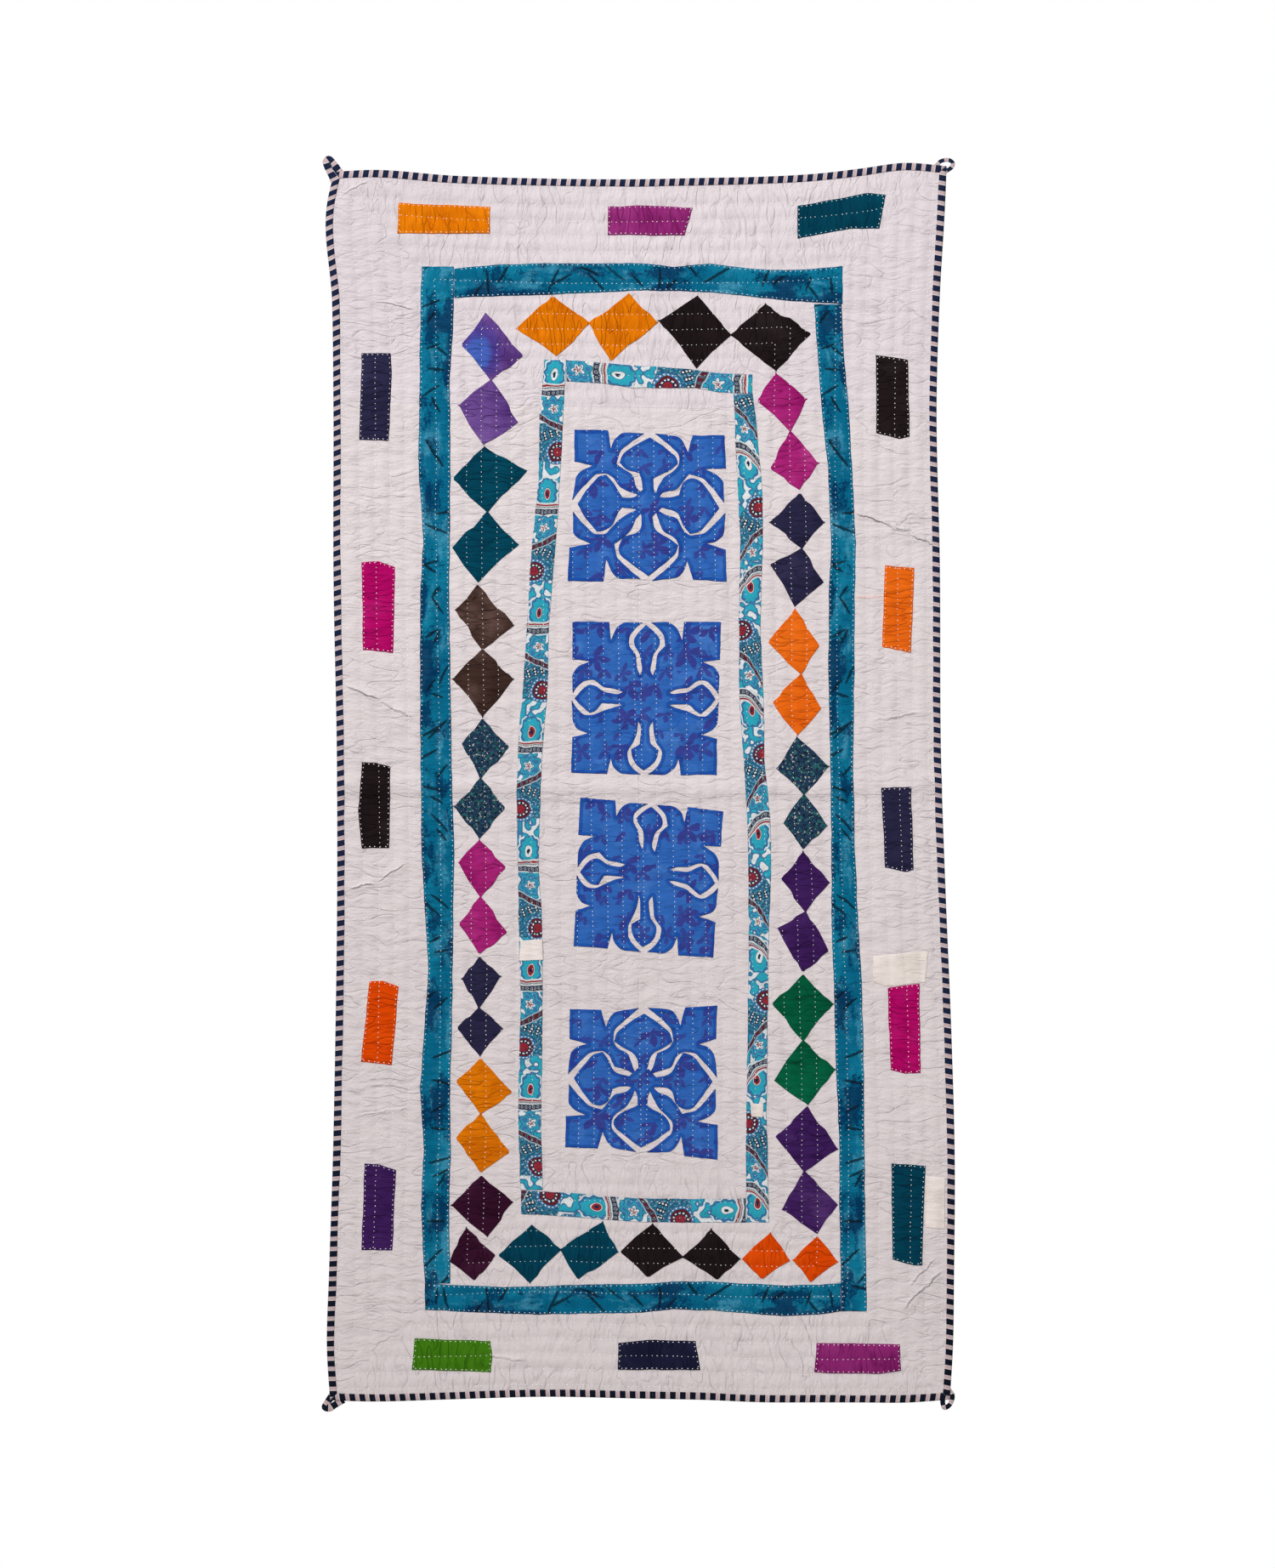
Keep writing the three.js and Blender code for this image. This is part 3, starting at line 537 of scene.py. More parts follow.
# Sewing thread. A stitch is a bead of ten points, laid along its row.
thread = {
    "pitch": 8.2 * mm,
    "length": 2.7 * mm,
    "width": 1.45 * mm,
    "height": 1.1 * mm,
    "raised": 0.1 * mm,  # middle of a stitch off the cloth
    "onCloth": 0.72,  # length on a cloth sewn on, as a share of that on the ground
    "lookAhead": 1.2 * mm,  # the way from which a stitch takes its direction
    "edgeInset": 2.5 * mm,
    "edgeLength": 2.2 * mm,
    "edgeRows": {"teal": [5, 7], "rectangle": [1, 3]},  # rows that the edges of those cloths lie along
}
beadPoints = np.array([[-0.5, 0, 0], *[[x, math.cos(t) / 2, math.sin(t) / 2] for x in (-0.28, 0.28)
                                       for t in np.arange(4) * math.pi / 2], [0.5, 0, 0]])
beadFaces = np.array([[0, 2, 1], [0, 3, 2], [0, 4, 3], [0, 1, 4],
                      *[face for i in range(4) for face in ([1 + i, 1 + (i + 1) % 4, 5 + (i + 1) % 4],
                                                            [1 + i, 5 + (i + 1) % 4, 5 + i])],
                      [9, 5, 6], [9, 6, 7], [9, 7, 8], [9, 8, 5]])

# A map of what the sewn cloths cover, with one cell a millimetre, and the cell that the origin falls on.
coverCells, coverOrigin = (1100, 2060), (550, 2030)


# Each cell is covered when its middle lies inside the outline of a cloth.
def makeCoverMap():
    covered = np.zeros(coverCells, dtype=bool)
    for node in sewnNodes:
        ring = outlineOf(node)
        low = np.floor(ring.min(axis=0) / mm).astype(int)
        high = np.ceil(ring.max(axis=0) / mm).astype(int)
        x, z = np.meshgrid(*(np.arange(low[k], high[k] + 1) for k in (0, 1)), indexing="ij")
        inside, _ = insideAndFar(np.stack([x.ravel(), z.ravel()], axis=-1) * mm, ring)
        covered[x.ravel()[inside] + coverOrigin[0], z.ravel()[inside] + coverOrigin[1]] = True
    return covered


coverMap = makeCoverMap()


# Height of the cloth sewn on over a place.
def coverLift(x, z):
    i, j = (np.clip(np.round(place / mm).astype(int) + origin, 0, cells - 1)
            for place, origin, cells in zip((x, z), coverOrigin, coverCells))
    return coverMap[i, j] * sewnTop


# Beads from their middles, the directions they run in and their sizes: each is turned so that its long side
# follows the run and its height stands off the cloth.
def makeBeads(name, middles, runs, lengths, outward=-1.0):
    runs = runs / np.linalg.norm(runs, axis=1)[:, None]
    away = np.zeros_like(runs)
    away[:, 1] = outward
    sideways = np.cross(away, runs)
    sideways /= np.linalg.norm(sideways, axis=1)[:, None]
    away = np.cross(runs, sideways)
    points = (middles[:, None, :]
              + beadPoints[None, :, 0, None] * (lengths[:, None] * runs)[:, None, :]
              + beadPoints[None, :, 1, None] * (thread["width"] * sideways)[:, None, :]
              + beadPoints[None, :, 2, None] * (thread["height"] * away)[:, None, :])
    faces = (beadFaces[None] + 10 * np.arange(len(middles))[:, None, None]).reshape(-1, 3)
    return newPiece(name, points.reshape(-1, 3), [faces], slotOfNode["quilted_ground"])


# Rows of running stitch in rings, upright ones alone in the field; every other half step lies on the back.
# Gives the place, the direction of the row and its inset for each stitch.
def rowPlaces(onBack):
    dice = np.random.default_rng(61 + onBack)
    places = []
    for k in range(cloth["rings"]):
        inset = cloth["firstRow"] + k * cloth["rowPitch"]
        inField = inset > cloth["fieldFrom"]
        top = cloth["fieldFrom"] + 2 * mm if inField else inset
        w, h = cloth["width"] - 2 * inset, cloth["height"] - 2 * top
        rows = [((cloth["width"] - inset, top), (0, 1), h, (-1, 0)), ((inset, top), (0, 1), h, (1, 0)),
                ((inset, inset), (1, 0), w, (0, 1)), ((inset, cloth["height"] - inset), (1, 0), w, (0, -1))]
        for start, step, length, inward in rows[:2] if inField else rows:
            count = max(int(length / thread["pitch"]), 1)
            run = (np.arange(count) + 0.3 + 0.5 * onBack) * length / count + dice.normal(0, 0.7 * mm, count)
            across, down = start[0] + run * step[0], start[1] + run * step[1]
            shift = inset - rowInset(across, down) + dice.normal(0, 0.25 * mm, count)
            across, down = across + shift * inward[0], down + shift * inward[1]
            ones = np.ones(count)
            places.append(np.stack([across, down, step[0] * ones, step[1] * ones, inset * ones], axis=-1))
    return np.concatenate(places)


# The rows on the front, without those that would lie along the sewn edge of a strip or a rectangle.
def frontRowPlaces():
    rows = rowPlaces(False)
    x, _, z = clothPoint(rows[:, 0], rows[:, 1], 0).T
    number = np.round((rows[:, 4] - cloth["firstRow"]) / cloth["rowPitch"]).astype(int)
    around = mm * np.array([[0, 0], [6, 0], [-6, 0], [0, 6], [0, -6]])
    nearCloth = sum(coverLift(x + dx, z + dz) for dx, dz in around) > 0
    onTealEdge = np.isin(number, thread["edgeRows"]["teal"])
    onRectangleEdge = np.isin(number, thread["edgeRows"]["rectangle"]) & nearCloth
    return rows[~onTealEdge & ~onRectangleEdge]


# Beads along rows. A bead's middle stands off the front of the ground and what is sewn there, or by a fixed
# height off its back, and it points to the place a little further along its row.
def sewRows():
    dice = np.random.default_rng(71)
    frontRows = frontRowPlaces()
    outer = frontRows[:, 4] < 0.21
    for name, rows in (("threadRowsOuter", frontRows[outer]), ("threadRowsInner", frontRows[~outer]),
                       ("threadRowsBack", rowPlaces(True))):
        across, down = rows[:, 0], rows[:, 1]
        further = across + thread["lookAhead"] * rows[:, 2], down + thread["lookAhead"] * rows[:, 3]
        lengths = thread["length"] * dice.uniform(0.75, 1.25, len(rows))
        if name == "threadRowsBack":
            middle, ahead = (clothPoint(*place, -0.05 * mm) for place in ((across, down), further))
            makeBeads(name, middle, ahead - middle, lengths, 1.0)
            continue
        out = frontOut(across, down)
        flat = clothPoint(across, down, out)
        lift = coverLift(flat[:, 0], flat[:, 2])
        middle = clothPoint(across, down, out + lift + thread["raised"])
        ahead = clothPoint(*further, frontOut(*further) + lift + thread["raised"])
        makeBeads(name, middle, ahead - middle, lengths * np.where(lift > 0, thread["onCloth"], 1.0))


# Stitches along the turned edges of the strips and rectangles, at even steps of the outline moved inwards.
def sewEdges():
    dice = np.random.default_rng(81)
    middles, runs = [], []
    for node in sewnNodes:
        if node.split("_")[0] not in thread["edgeRows"]:
            continue
        ring = sewnOutlines[camel(node)]
        inner = ring + inwardNormals(ring) * thread["edgeInset"]
        closed = np.vstack([inner, inner[:1]])
        run = np.concatenate([[0], np.cumsum(np.hypot(*np.diff(closed, axis=0).T))])
        count = int(run[-1] / thread["pitch"])
        at = (np.arange(count) + dice.uniform(-0.12, 0.12, count) + 0.5) * run[-1] / count
        place, ahead = (np.stack([np.interp(here, run, closed[:, k]) for k in (0, 1)], axis=-1)
                        for here in (at, (at + 1 * mm) % run[-1]))
        if node.startswith("teal"):
            # no stitches run across the ends of a strip
            along = 1 if np.ptp(ring[:, 1]) > np.ptp(ring[:, 0]) else 0
            low, high = ring[:, along].min() + 5 * mm, ring[:, along].max() - 5 * mm
            kept = (place[:, along] > low) & (place[:, along] < high)
            place, ahead = place[kept], ahead[kept]
        lift = sewnTop + thread["raised"] / 2
        here = onGround(place, lift)
        middles.append(here)
        runs.append(onGround(ahead, lift) - here)
    middles, runs = np.concatenate(middles), np.concatenate(runs)
    makeBeads("threadEdges", middles, runs, thread["edgeLength"] * dice.uniform(0.8, 1.2, len(middles)))


sewRows()
sewEdges()
print("stitches sewn")

# Striped binding folded round each edge. Its section is two chains, an outer and an inner one, given by the
# inset from the edge and the height off the back of the ground.
binding = {
    "step": 4 * mm,
    "wave": 0.35 * mm,
    "outer": mm * np.array([
        [12.1, 3.05], [11.6, 3.5], [8.5, 3.75], [5, 3.7], [2.2, 3.45], [0.8, 2.9], [0.15, 1.9], [0.0, 1.1],
        [0.2, 0.1], [0.9, -0.75], [2.4, -1.05], [11.6, -1.1], [12.0, -0.8]]),
    "inner": mm * np.array([
        [12.0, 2.5], [11.5, 2.7], [8.5, 2.75], [5, 2.75], [2.4, 2.7], [1.5, 2.4], [1.0, 1.8], [0.85, 1.1],
        [1.0, 0.4], [1.5, -0.25], [2.6, -0.3], [11.5, -0.3], [12.0, -0.4]]),
    # how far the stripes lean at the start and at the end of each side
    "slants": {"top": (-0.05, 0.1), "right": (0.12, 0.28), "bottom": (0.12, -0.1), "left": (0.42, 0.05)},
}


# The section carried along a side between two mitres. The stripes run on the way along it, shifted by the
# slant, and on the way round the fold.
def makeBinding(side, seed):
    level = side in ("top", "bottom")
    edge = cloth["width"] if level else cloth["height"]
    count = round(edge / binding["step"])
    share = np.linspace(0, 1, count)[:, None]
    outer, inner = binding["outer"], binding["inner"]
    section = np.vstack([outer, inner[::-1]])
    size = len(section)
    inset, out = section[None, :, 0], section[None, :, 1]
    run = inset + 0.3 * mm + share * (edge - 2 * inset - 0.6 * mm)
    outerShare = np.clip(1 - np.abs(np.arange(size) - 3.5) / 3, 0, 1)[None, :]
    wave = binding["wave"] * stray(run / 0.012, 0 * run + 3, seed)
    lateral = 0.5 * mm * stray(run / 0.05, 0 * run + 7, seed + 1) * np.clip(inset / (12 * mm), 0, 1)
    depth = inset + lateral
    across, down = {"top": (run, depth), "right": (cloth["width"] - depth, run),
                    "bottom": (run, cloth["height"] - depth), "left": (depth, run)}[side]
    points = clothPoint(across, down, out + wave * outerShare)
    m = len(outer)
    i = np.arange(m - 1)
    cap = np.stack([i, i + 1, size - 2 - i, size - 1 - i], axis=-1)
    blocks = [ringFaces(count, size), cap[:, ::-1], cap + (count - 1) * size]
    if side in ("top", "right"):
        blocks = [block[:, ::-1] for block in blocks]
    slantStart, slantEnd = binding["slants"][side]
    slant = slantStart + (slantEnd - slantStart) * share
    wrapped = np.concatenate([np.cumsum(np.hypot(*np.diff(chain, axis=0, prepend=chain[:1]).T))
                              for chain in (outer, inner)])
    wrapped[m:] = wrapped[m:][::-1]
    along = (run + slant * np.broadcast_to(inset, run.shape)
             + 0.8 * mm * smoothNoise(run / 0.07, 0 * run, seed + 2))
    uv = np.stack([along.ravel(), np.broadcast_to(wrapped[None, :], run.shape).ravel()], axis=-1)
    node = f"binding_{side}"
    return newPiece(camel(node), points.reshape(-1, 3), blocks, slotOfNode[node], [node], uv)


for seed, side in enumerate(("top", "right", "bottom", "left")):
    makeBinding(side, 300 + 10 * seed)

# Corner loops: ribbons of binding cloth along a path in X and Z, with its distance in front of the wall.
ribbons = {
    "loop_top_left": {"width": 11.8, "thick": 1.6, "path": [
        [-480, 1, 3.6], [-487, 9, 3.8], [-495, 19, 4.2], [-502, 28, 4.6], [-506.5, 31.5, 5.2],
        [-510, 28.5, 6.0], [-508, 20, 6.6], [-502, 7, 6.0], [-496.5, -6, 4.8]]},
    "loop_top_right": {"width": 6.6, "thick": 1.9, "path": [
        [472, 14, 4.4], [479, 21, 4.8], [485.5, 28, 5.0], [493, 30.5, 5.2], [501, 30, 5.2],
        [506, 25.5, 5.2], [504, 19, 5.2], [497.5, 14, 5.2], [489, 10, 5.0], [481, 4, 4.6]]},
    "loop_bottom_left": {"width": 11.5, "thick": 1.7, "path": [
        [-492, -1960, 7.8], [-501, -1973, 8.0], [-509, -1985, 8.2], [-512, -1991, 8.7],
        [-506, -1992.5, 9.3], [-496, -1987, 9.0], [-482, -1979, 8.2]]},
    "loop_bottom_right": {"width": 8.0, "thick": 1.8, "path": [
        [492, -1958, 7.6], [500, -1964, 7.8], [504.5, -1971, 8.0], [503.5, -1981, 8.2],
        [498, -1989.5, 8.4], [492, -1991.5, 8.6], [489.5, -1985, 8.4], [490, -1974, 7.8]]},
}
ribbonGrid = {"along": 64, "round": 12, "roundness": 0.7, "ripple": 0.06}


# A flattened oval carried along a smooth path; its width ripples a little.
def makeRibbon(node, seed):
    spec, sides = ribbons[node], ribbonGrid["round"]
    path = mm * np.array(spec["path"])
    knots = np.concatenate([[0], np.cumsum(np.linalg.norm(np.diff(path, axis=0), axis=1))])
    run = np.linspace(0, knots[-1], ribbonGrid["along"])
    x, z, front = (curveThrough(knots, path[:, k], run) for k in range(3))
    middle = np.stack([x, -front, z], axis=-1)
    ahead = np.gradient(middle, axis=0)
    ahead /= np.linalg.norm(ahead, axis=1)[:, None]
    sideways = np.stack([-ahead[:, 2], np.zeros(len(run)), ahead[:, 0]], axis=-1)
    sideways /= np.linalg.norm(sideways, axis=1)[:, None]
    away = np.cross(ahead, sideways)
    turn = np.arange(sides) * 2 * math.pi / sides
    across, height = (size * mm / 2 * np.sign(wave) * np.abs(wave) ** ribbonGrid["roundness"]
                      for size, wave in ((spec["width"], np.cos(turn)), (spec["thick"], np.sin(turn))))
    ripple = 1 + ribbonGrid["ripple"] * stray(run / 0.006, 0 * run, seed)
    points = (middle[:, None, :] + (across[None, :] * ripple[:, None])[:, :, None] * sideways[:, None, :]
              + height[None, :, None] * away[:, None, :])
    ends = np.array([[0, i, i + 1] for i in range(1, sides - 1)])
    blocks = [ringFaces(len(run), sides), ends[:, ::-1], ends + (len(run) - 1) * sides]
    uv = np.stack(np.broadcast_arrays(run[:, None], across[None, :] + spec["width"] * mm / 2), axis=-1)
    return newPiece(camel(node), points.reshape(-1, 3), blocks, slotOfNode[node], [node], uv.reshape(-1, 2))


for seed, node in enumerate(ribbons):
    makeRibbon(node, 400 + seed)
print("binding and loops made")


# Colour as a socket takes it, from red, green and blue up to 255 with the screen's curve taken off.
def colour(*parts):
    return tuple(((c / 255 + 0.055) / 1.055) ** 2.4 if c > 10 else c / 255 / 12.92 for c in parts) + (1,)


# The same for each entry of a chart.
def colours(chart):
    return {name: colour(*shade) for name, shade in chart.items()}


# A value socket that sums can be written on; each operation adds a Math node.
class Signal:
    def __init__(self, finish, socket):
        self.finish, self.socket = finish, socket

    def math(self, operation, *others):
        return self.finish.math(operation, self, *others)

    def __add__(self, other):
        return self.math("ADD", other)

    def __sub__(self, other):
        return self.math("SUBTRACT", other)

    def __rsub__(self, other):
        return self.finish.math("SUBTRACT", other, self)

    def __mul__(self, other):
        return self.math("MULTIPLY", other)

    def __truediv__(self, other):
        return self.math("DIVIDE", other)

    def __pow__(self, other):
        return self.math("POWER", other)

    def __abs__(self):
        return self.math("ABSOLUTE")

    __radd__ = __add__
    __rmul__ = __mul__

    # 0 below low, 1 above high, an S-curve between; low may be the greater one.
    def rise(self, low, high):
        node = self.finish.node("ShaderNodeMapRange", {"interpolation_type": "SMOOTHSTEP"}, {
            "Value": self, "From Min": min(low, high), "From Max": max(low, high),
            "To Min": float(low > high), "To Max": float(high > low)})
        return Signal(self.finish, node.outputs["Result"])

    # 1 within half a width of a value, with soft sides.
    def near(self, value, half, soft):
        return abs(self - value).rise(half + soft, half - soft)


threadPitch = 0.6 * mm  # of the weave


# A material with one principled shader; its methods add nodes and return what comes out of them.
class Finish:
    def __init__(self, name, roughness=0.9):
        self.material = bpy.data.materials.new(name)
        self.material.use_nodes = True
        self.tree = self.material.node_tree
        self.tree.nodes.clear()
        self.shader = self.node("ShaderNodeBsdfPrincipled",
                                inputs={"Roughness": roughness, "Specular IOR Level": 0.06})
        self.node("ShaderNodeOutputMaterial", inputs={"Surface": self.shader.outputs[0]})
        self.place = self.node("ShaderNodeTexCoord").outputs["Object"]
        self.x, _, self.z = self.split(self.place)
        self.wander = None

    # Sets a socket to a value, or leads another one into it.
    def link(self, value, socket):
        value = value.socket if isinstance(value, Signal) else value
        if isinstance(value, bpy.types.NodeSocket):
            self.tree.links.new(value, socket)
        else:
            socket.default_value = value

    # A node of any kind, its settings first and then its sockets.
    def node(self, kind, settings=None, inputs=None):
        node = self.tree.nodes.new(kind)
        for key, value in (settings or {}).items():
            setattr(node, key, value)
        for key, value in (inputs or {}).items():
            self.link(value, node.inputs[key])
        return node

    def math(self, operation, *values):
        node = self.node("ShaderNodeMath", {"operation": operation}, dict(enumerate(values)))
        return Signal(self, node.outputs[0])

    def split(self, vector):
        outputs = self.node("ShaderNodeSeparateXYZ", inputs={0: vector}).outputs
        return [Signal(self, socket) for socket in outputs]

    def vector(self, x, y=0.0, z=0.0):
        return self.node("ShaderNodeCombineXYZ", inputs={0: x, 1: y, 2: z}).outputs[0]

    # A value kept at the points of the piece.
    def value(self, name):
        return Signal(self, self.node("ShaderNodeAttribute", {"attribute_name": name}).outputs["Fac"])

    # The place on the cloth in metres; the third value is always 0.
    def clothPlace(self):
        return self.split(self.node("ShaderNodeUVMap", {"uv_map": "cloth"}).outputs[0])

    def noise(self, vector, scale=1.0, detail=2.0, roughness=0.5):
        inputs = {"Vector": vector, "Scale": scale, "Detail": detail, "Roughness": roughness}
        return Signal(self, self.node("ShaderNodeTexNoise", inputs=inputs).outputs[0])

    # One random value from 0 to 1 for each whole number, or pair of them.
    def dice(self, first, second=0.0, seed=0.0):
        node = self.node("ShaderNodeTexWhiteNoise", {"noise_dimensions": "3D"},
                         {"Vector": self.vector(first, second, seed)})
        return Signal(self, node.outputs["Value"])

    # Inputs 6 and 7 are the colours of a Mix node, output 2 is its colour.
    def mix(self, first, second, share):
        node = self.node("ShaderNodeMix", {"data_type": "RGBA"}, {"Factor": share, 6: first, 7: second})
        return node.outputs[2]

    # Colours laid over each other in turn, each where its mask is 1.
    def layers(self, base, *pairs):
        for over, mask in pairs:
            base = self.mix(base, over, mask)
        return base

    # A colour or a colour socket times an amount.
    def shade(self, base, amount):
        grey = self.vector(amount, amount, amount)
        base = base if isinstance(base, bpy.types.NodeSocket) else base[:3]
        return self.node("ShaderNodeVectorMath", {"operation": "MULTIPLY"}, {0: base, 1: grey}).outputs[0]

    # Height is in millimetres.
    def finish(self, base, height=None):
        self.link(base, self.shader.inputs["Base Color"])
        if height is not None:
            bump = self.node("ShaderNodeBump", inputs={"Height": height, "Distance": 1 * mm})
            self.link(bump.outputs[0], self.shader.inputs["Normal"])
        return self.material

    # Noise round zero that reaches half of an amount, at the piece's own place or in another layer of it.
    def drift(self, amount, scale, detail=2.0, roughness=0.5, layer=None):
        place = self.place if layer is None else self.vector(self.x, layer, self.z)
        return (self.noise(place, scale, detail, roughness) - 0.5) * amount

    # X and Z, wandering slowly so that what is drawn on them bends a little.
    def wandering(self):
        if self.wander is None:
            self.wander = (self.x + self.drift(22 * mm, 16.0, 1.0),
                           self.z + self.drift(22 * mm, 16.0, 1.0, layer=5.0))
        return self.wander

    # Noise stretched along the wrinkles, which lie level where the rows run upright and upright elsewhere.
    def stretched(self, along, across, levelLayer, standingLayer, detail, roughness=0.5):
        x, z = self.wandering()
        level = self.noise(self.vector(x * along, levelLayer, z * across), 1.0, detail, roughness)
        standing = self.noise(self.vector(x * across, standingLayer, z * along), 1.0, detail, roughness)
        return self.value("upright") * (level - standing) + standing

    # Wrinkles that run across the rows of stitches, from 0 to 1.
    def wrinkles(self, along=28.0, across=120.0, seed=0.0):
        return self.stretched(along, across, seed, seed + 3, 3.0, 0.55)

    # Plain weave: crossing threads, a height from a quarter to three quarters.
    def weave(self):
        turns = 2 * math.pi / threadPitch
        return (self.x * turns).math("SINE") * (self.z * turns).math("SINE") * 0.25 + 0.5


# Gives pieces a material.
def paint(pieces, material):
    for piece in pieces:
        piece.data.materials.clear()
        piece.data.materials.append(material)


# The pieces whose names start in one of some ways.
def named(*starts):
    return [piece for piece in bpy.data.objects
            if piece.type == "MESH" and not piece.hide_render and piece.name.startswith(starts)]


# Ground colours: the hollow colour is painted shade and the ridge colour a painted highlight.
groundColours = colours({
    "upper": (225, 214, 218), "lower": (226, 215, 216), "hollow": (196, 184, 188), "ridge": (240, 232, 232),
    "line": (160, 148, 156), "stain": (236, 196, 184),
})

# Thin seams and folds pressed into the ground: Z in millimetres, slope, how dark.
pressedLines = [(-371, 0.02, 0.5), (-675, -0.004, 0.3), (-998, 0.003, 0.55), (-1330, 0.002, 0.3),
                (-1445, -0.003, 0.25)]


# Sharp little creases across the rows: the thin ridges where stretched noise passes its middle, let through
# where a slow noise is above a share.
def crinkle(f, along, across, seed, share=0.5):
    here = f.noise(f.vector(f.x, seed, f.z), 14.0, 2.0).rise(share - 0.06, share + 0.14)
    return f.stretched(along, across, seed, seed, 1.0).near(0.5, 0.0, 0.035) * here


# The larger creases in the cloth: a raised line along each, given a painted highlight, and a painted shadow
# beside it.
def largeCreases(f):
    wander = f.drift(15 * mm, 42.0, 3.0, 0.6)
    raised, shaded = 0.0, 0.0
    strong = creases[np.abs(creases[:, 4]) > 1.15]
    for x0, z0, x1, z1, height, half in (strong * mm).tolist():
        length = math.hypot(x1 - x0, z1 - z0)
        ux, uz = (x1 - x0) / length, (z1 - z0) / length
        along = (f.x - x0) * ux + (f.z - z0) * uz
        side = (f.x - x0) * -uz + (f.z - z0) * ux + wander
        ends = along.rise(0.0, 0.25 * length) * along.rise(length, 0.75 * length) * (height / mm)
        raised = raised + side.near(0, 0.3 * mm, 0.55 * half) * ends
        shaded = shaded + side.near(-0.45 * half, 0.2 * mm, 0.35 * half) * ends
    return raised, shaded


# Off-white cotton with painted shade in the hollows of its wrinkles and creases, pressed seams and one pale
# stain.
def groundFinish():
    f = Finish("quiltedCotton", 0.95)
    wrinkle = f.wrinkles(20.0, 58.0)
    folds = f.wrinkles(34.0, 135.0, 9.0)
    crease = crinkle(f, 14.0, 38.0, 7.0, 0.42)
    second = crinkle(f, 26.0, 60.0, 17.0, 0.5)
    rumple = f.noise(f.place, 26.0, 4.0, 0.55)
    raised, shaded = largeCreases(f)
    cloud = f.noise(f.place, 5.0, 3.0)
    speck = f.noise(f.place, 70.0, 3.0, 0.6)
    above = (f.z + f.x * 0.02).rise(-371.6 * mm, -370.4 * mm)
    # Painted shade: darker towards the top-left corner, where the light falls off.
    corner = (f.x * 0.8 - f.z).rise(0.25, -0.42)
    lines = sum((f.z + f.x * slope - level * mm).near(0, 0.4 * mm, 0.6 * mm) * dark
                for level, slope, dark in pressedLines)
    alongFold = (f.x + f.drift(24 * mm, 3.0)).near(-4 * mm, 0.5 * mm, 1.6 * mm) * 0.35
    stain = (f.z.near(-678 * mm, 2.2 * mm, 2.5 * mm) * f.x.rise(344 * mm, 350 * mm)
             * f.x.rise(398 * mm, 392 * mm))
    # Painted shade in the hollows of the wrinkles, of the little creases and beside the large creases.
    hollow = wrinkle.rise(0.48, 0.25) * 0.3 + (crease + second) * 0.42 + shaded * 0.3
    base = f.layers(groundColours["lower"],
                    (groundColours["upper"], above),
                    (groundColours["hollow"], hollow),
                    (groundColours["line"], (lines + alongFold) * 0.5),
                    (groundColours["stain"], stain * 0.55),
                    # Painted highlight along the raised lines of the large creases.
                    (groundColours["ridge"], raised * 0.3))
    base = f.shade(base, 0.95 + cloud * 0.06 + speck * 0.04 - corner * 0.1)
    height = (wrinkle * 4.3 + folds * 1.5 + rumple * 3.2 - crease * 1.6 - second + raised * 1.6
              - shaded * 0.9 + f.weave() * 0.05 - lines * 0.6 - alongFold)
    return f.finish(base, height)


paint([ground], groundFinish())


# White thread, speckled a little.
def threadFinish():
    f = Finish("whiteThread", 0.7)
    return f.finish(f.shade(colour(250, 247, 244), 0.94 + f.noise(f.place, 900.0) * 0.12))


paint(named("thread"), threadFinish())

# Dyed cloths: main, dark and light colour, how strong and how fine the mottling is, and what is cut from it.
dyes = {
    "amber": ((226, 120, 2), (196, 92, 0), (244, 138, 14), 0.5, 22,
              ["rectangle_top_1", "diamonds_amber_top", "diamonds_amber_left"]),
    "lightOrange": ((234, 104, 18), (212, 80, 8), (244, 118, 28), 0.5, 22,
              ["rectangle_right_2", "diamonds_orange_right"]),
    "deepOrange": ((226, 72, 0), (196, 54, 0), (236, 86, 6), 0.5, 22,
              ["rectangle_left_4", "diamond_orange_bottom", "diamond_orange_corner"]),
    "magenta": ((178, 4, 98), (146, 0, 80), (194, 36, 122), 0.5, 16,
              ["rectangle_left_2", "rectangle_right_4"]),
    "fuchsia": ((168, 34, 116), (132, 6, 88), (186, 64, 138), 0.6, 16,
              ["diamonds_magenta_right", "diamonds_magenta_left"]),
    "mulberry": ((142, 38, 112), (108, 14, 80), (162, 58, 132), 0.5, 16,
              ["rectangle_top_2", "rectangle_bottom_3"]),
    "purple": ((62, 29, 90), (44, 16, 68), (90, 56, 118), 0.6, 14,
              ["rectangle_left_5", "diamonds_purple_right", "diamonds_violet_right"]),
    "navy": ((40, 38, 67), (27, 26, 50), (56, 53, 86), 0.5, 18,
              ["rectangle_left_1", "rectangle_right_3", "diamonds_navy_left", "diamonds_navy_right"]),
    "deepNavy": ((25, 26, 52), (16, 16, 38), (38, 40, 68), 0.5, 18,
              ["rectangle_bottom_2"]),
    "black": ((31, 22, 24), (18, 12, 13), (46, 38, 38), 0.4, 18,
              ["rectangle_left_3", "rectangle_right_1", "diamonds_black_top", "diamonds_black_bottom"]),
    "deepTeal": ((0, 62, 83), (0, 46, 65), (0, 78, 100), 0.5, 14,
              ["rectangle_top_3", "rectangle_right_5", "diamonds_teal_left", "diamonds_teal_bottom"]),
    "green": ((0, 88, 58), (0, 68, 42), (6, 106, 72), 0.5, 14,
              ["diamonds_green_right"]),
    "leafGreen": ((66, 124, 18), (46, 98, 5), (88, 144, 38), 0.5, 16,
              ["rectangle_bottom_1"]),
    "plum": ((52, 14, 40), (38, 5, 28), (74, 30, 58), 0.5, 14,
              ["diamond_plum_left", "diamond_plum_corner"]),
    "brown": ((63, 43, 38), (42, 27, 23), (98, 74, 68), 0.9, 12,
              ["diamonds_brown_left"]),
}
# How wide and dark the turned edge is, partly painted shade, and how dark the painted shade in wrinkles and
# creases is.
dyeLook = {"hemWidth": 1.6, "hemDark": 0.3, "wrinkleDark": 0.6, "creaseDark": 0.85}
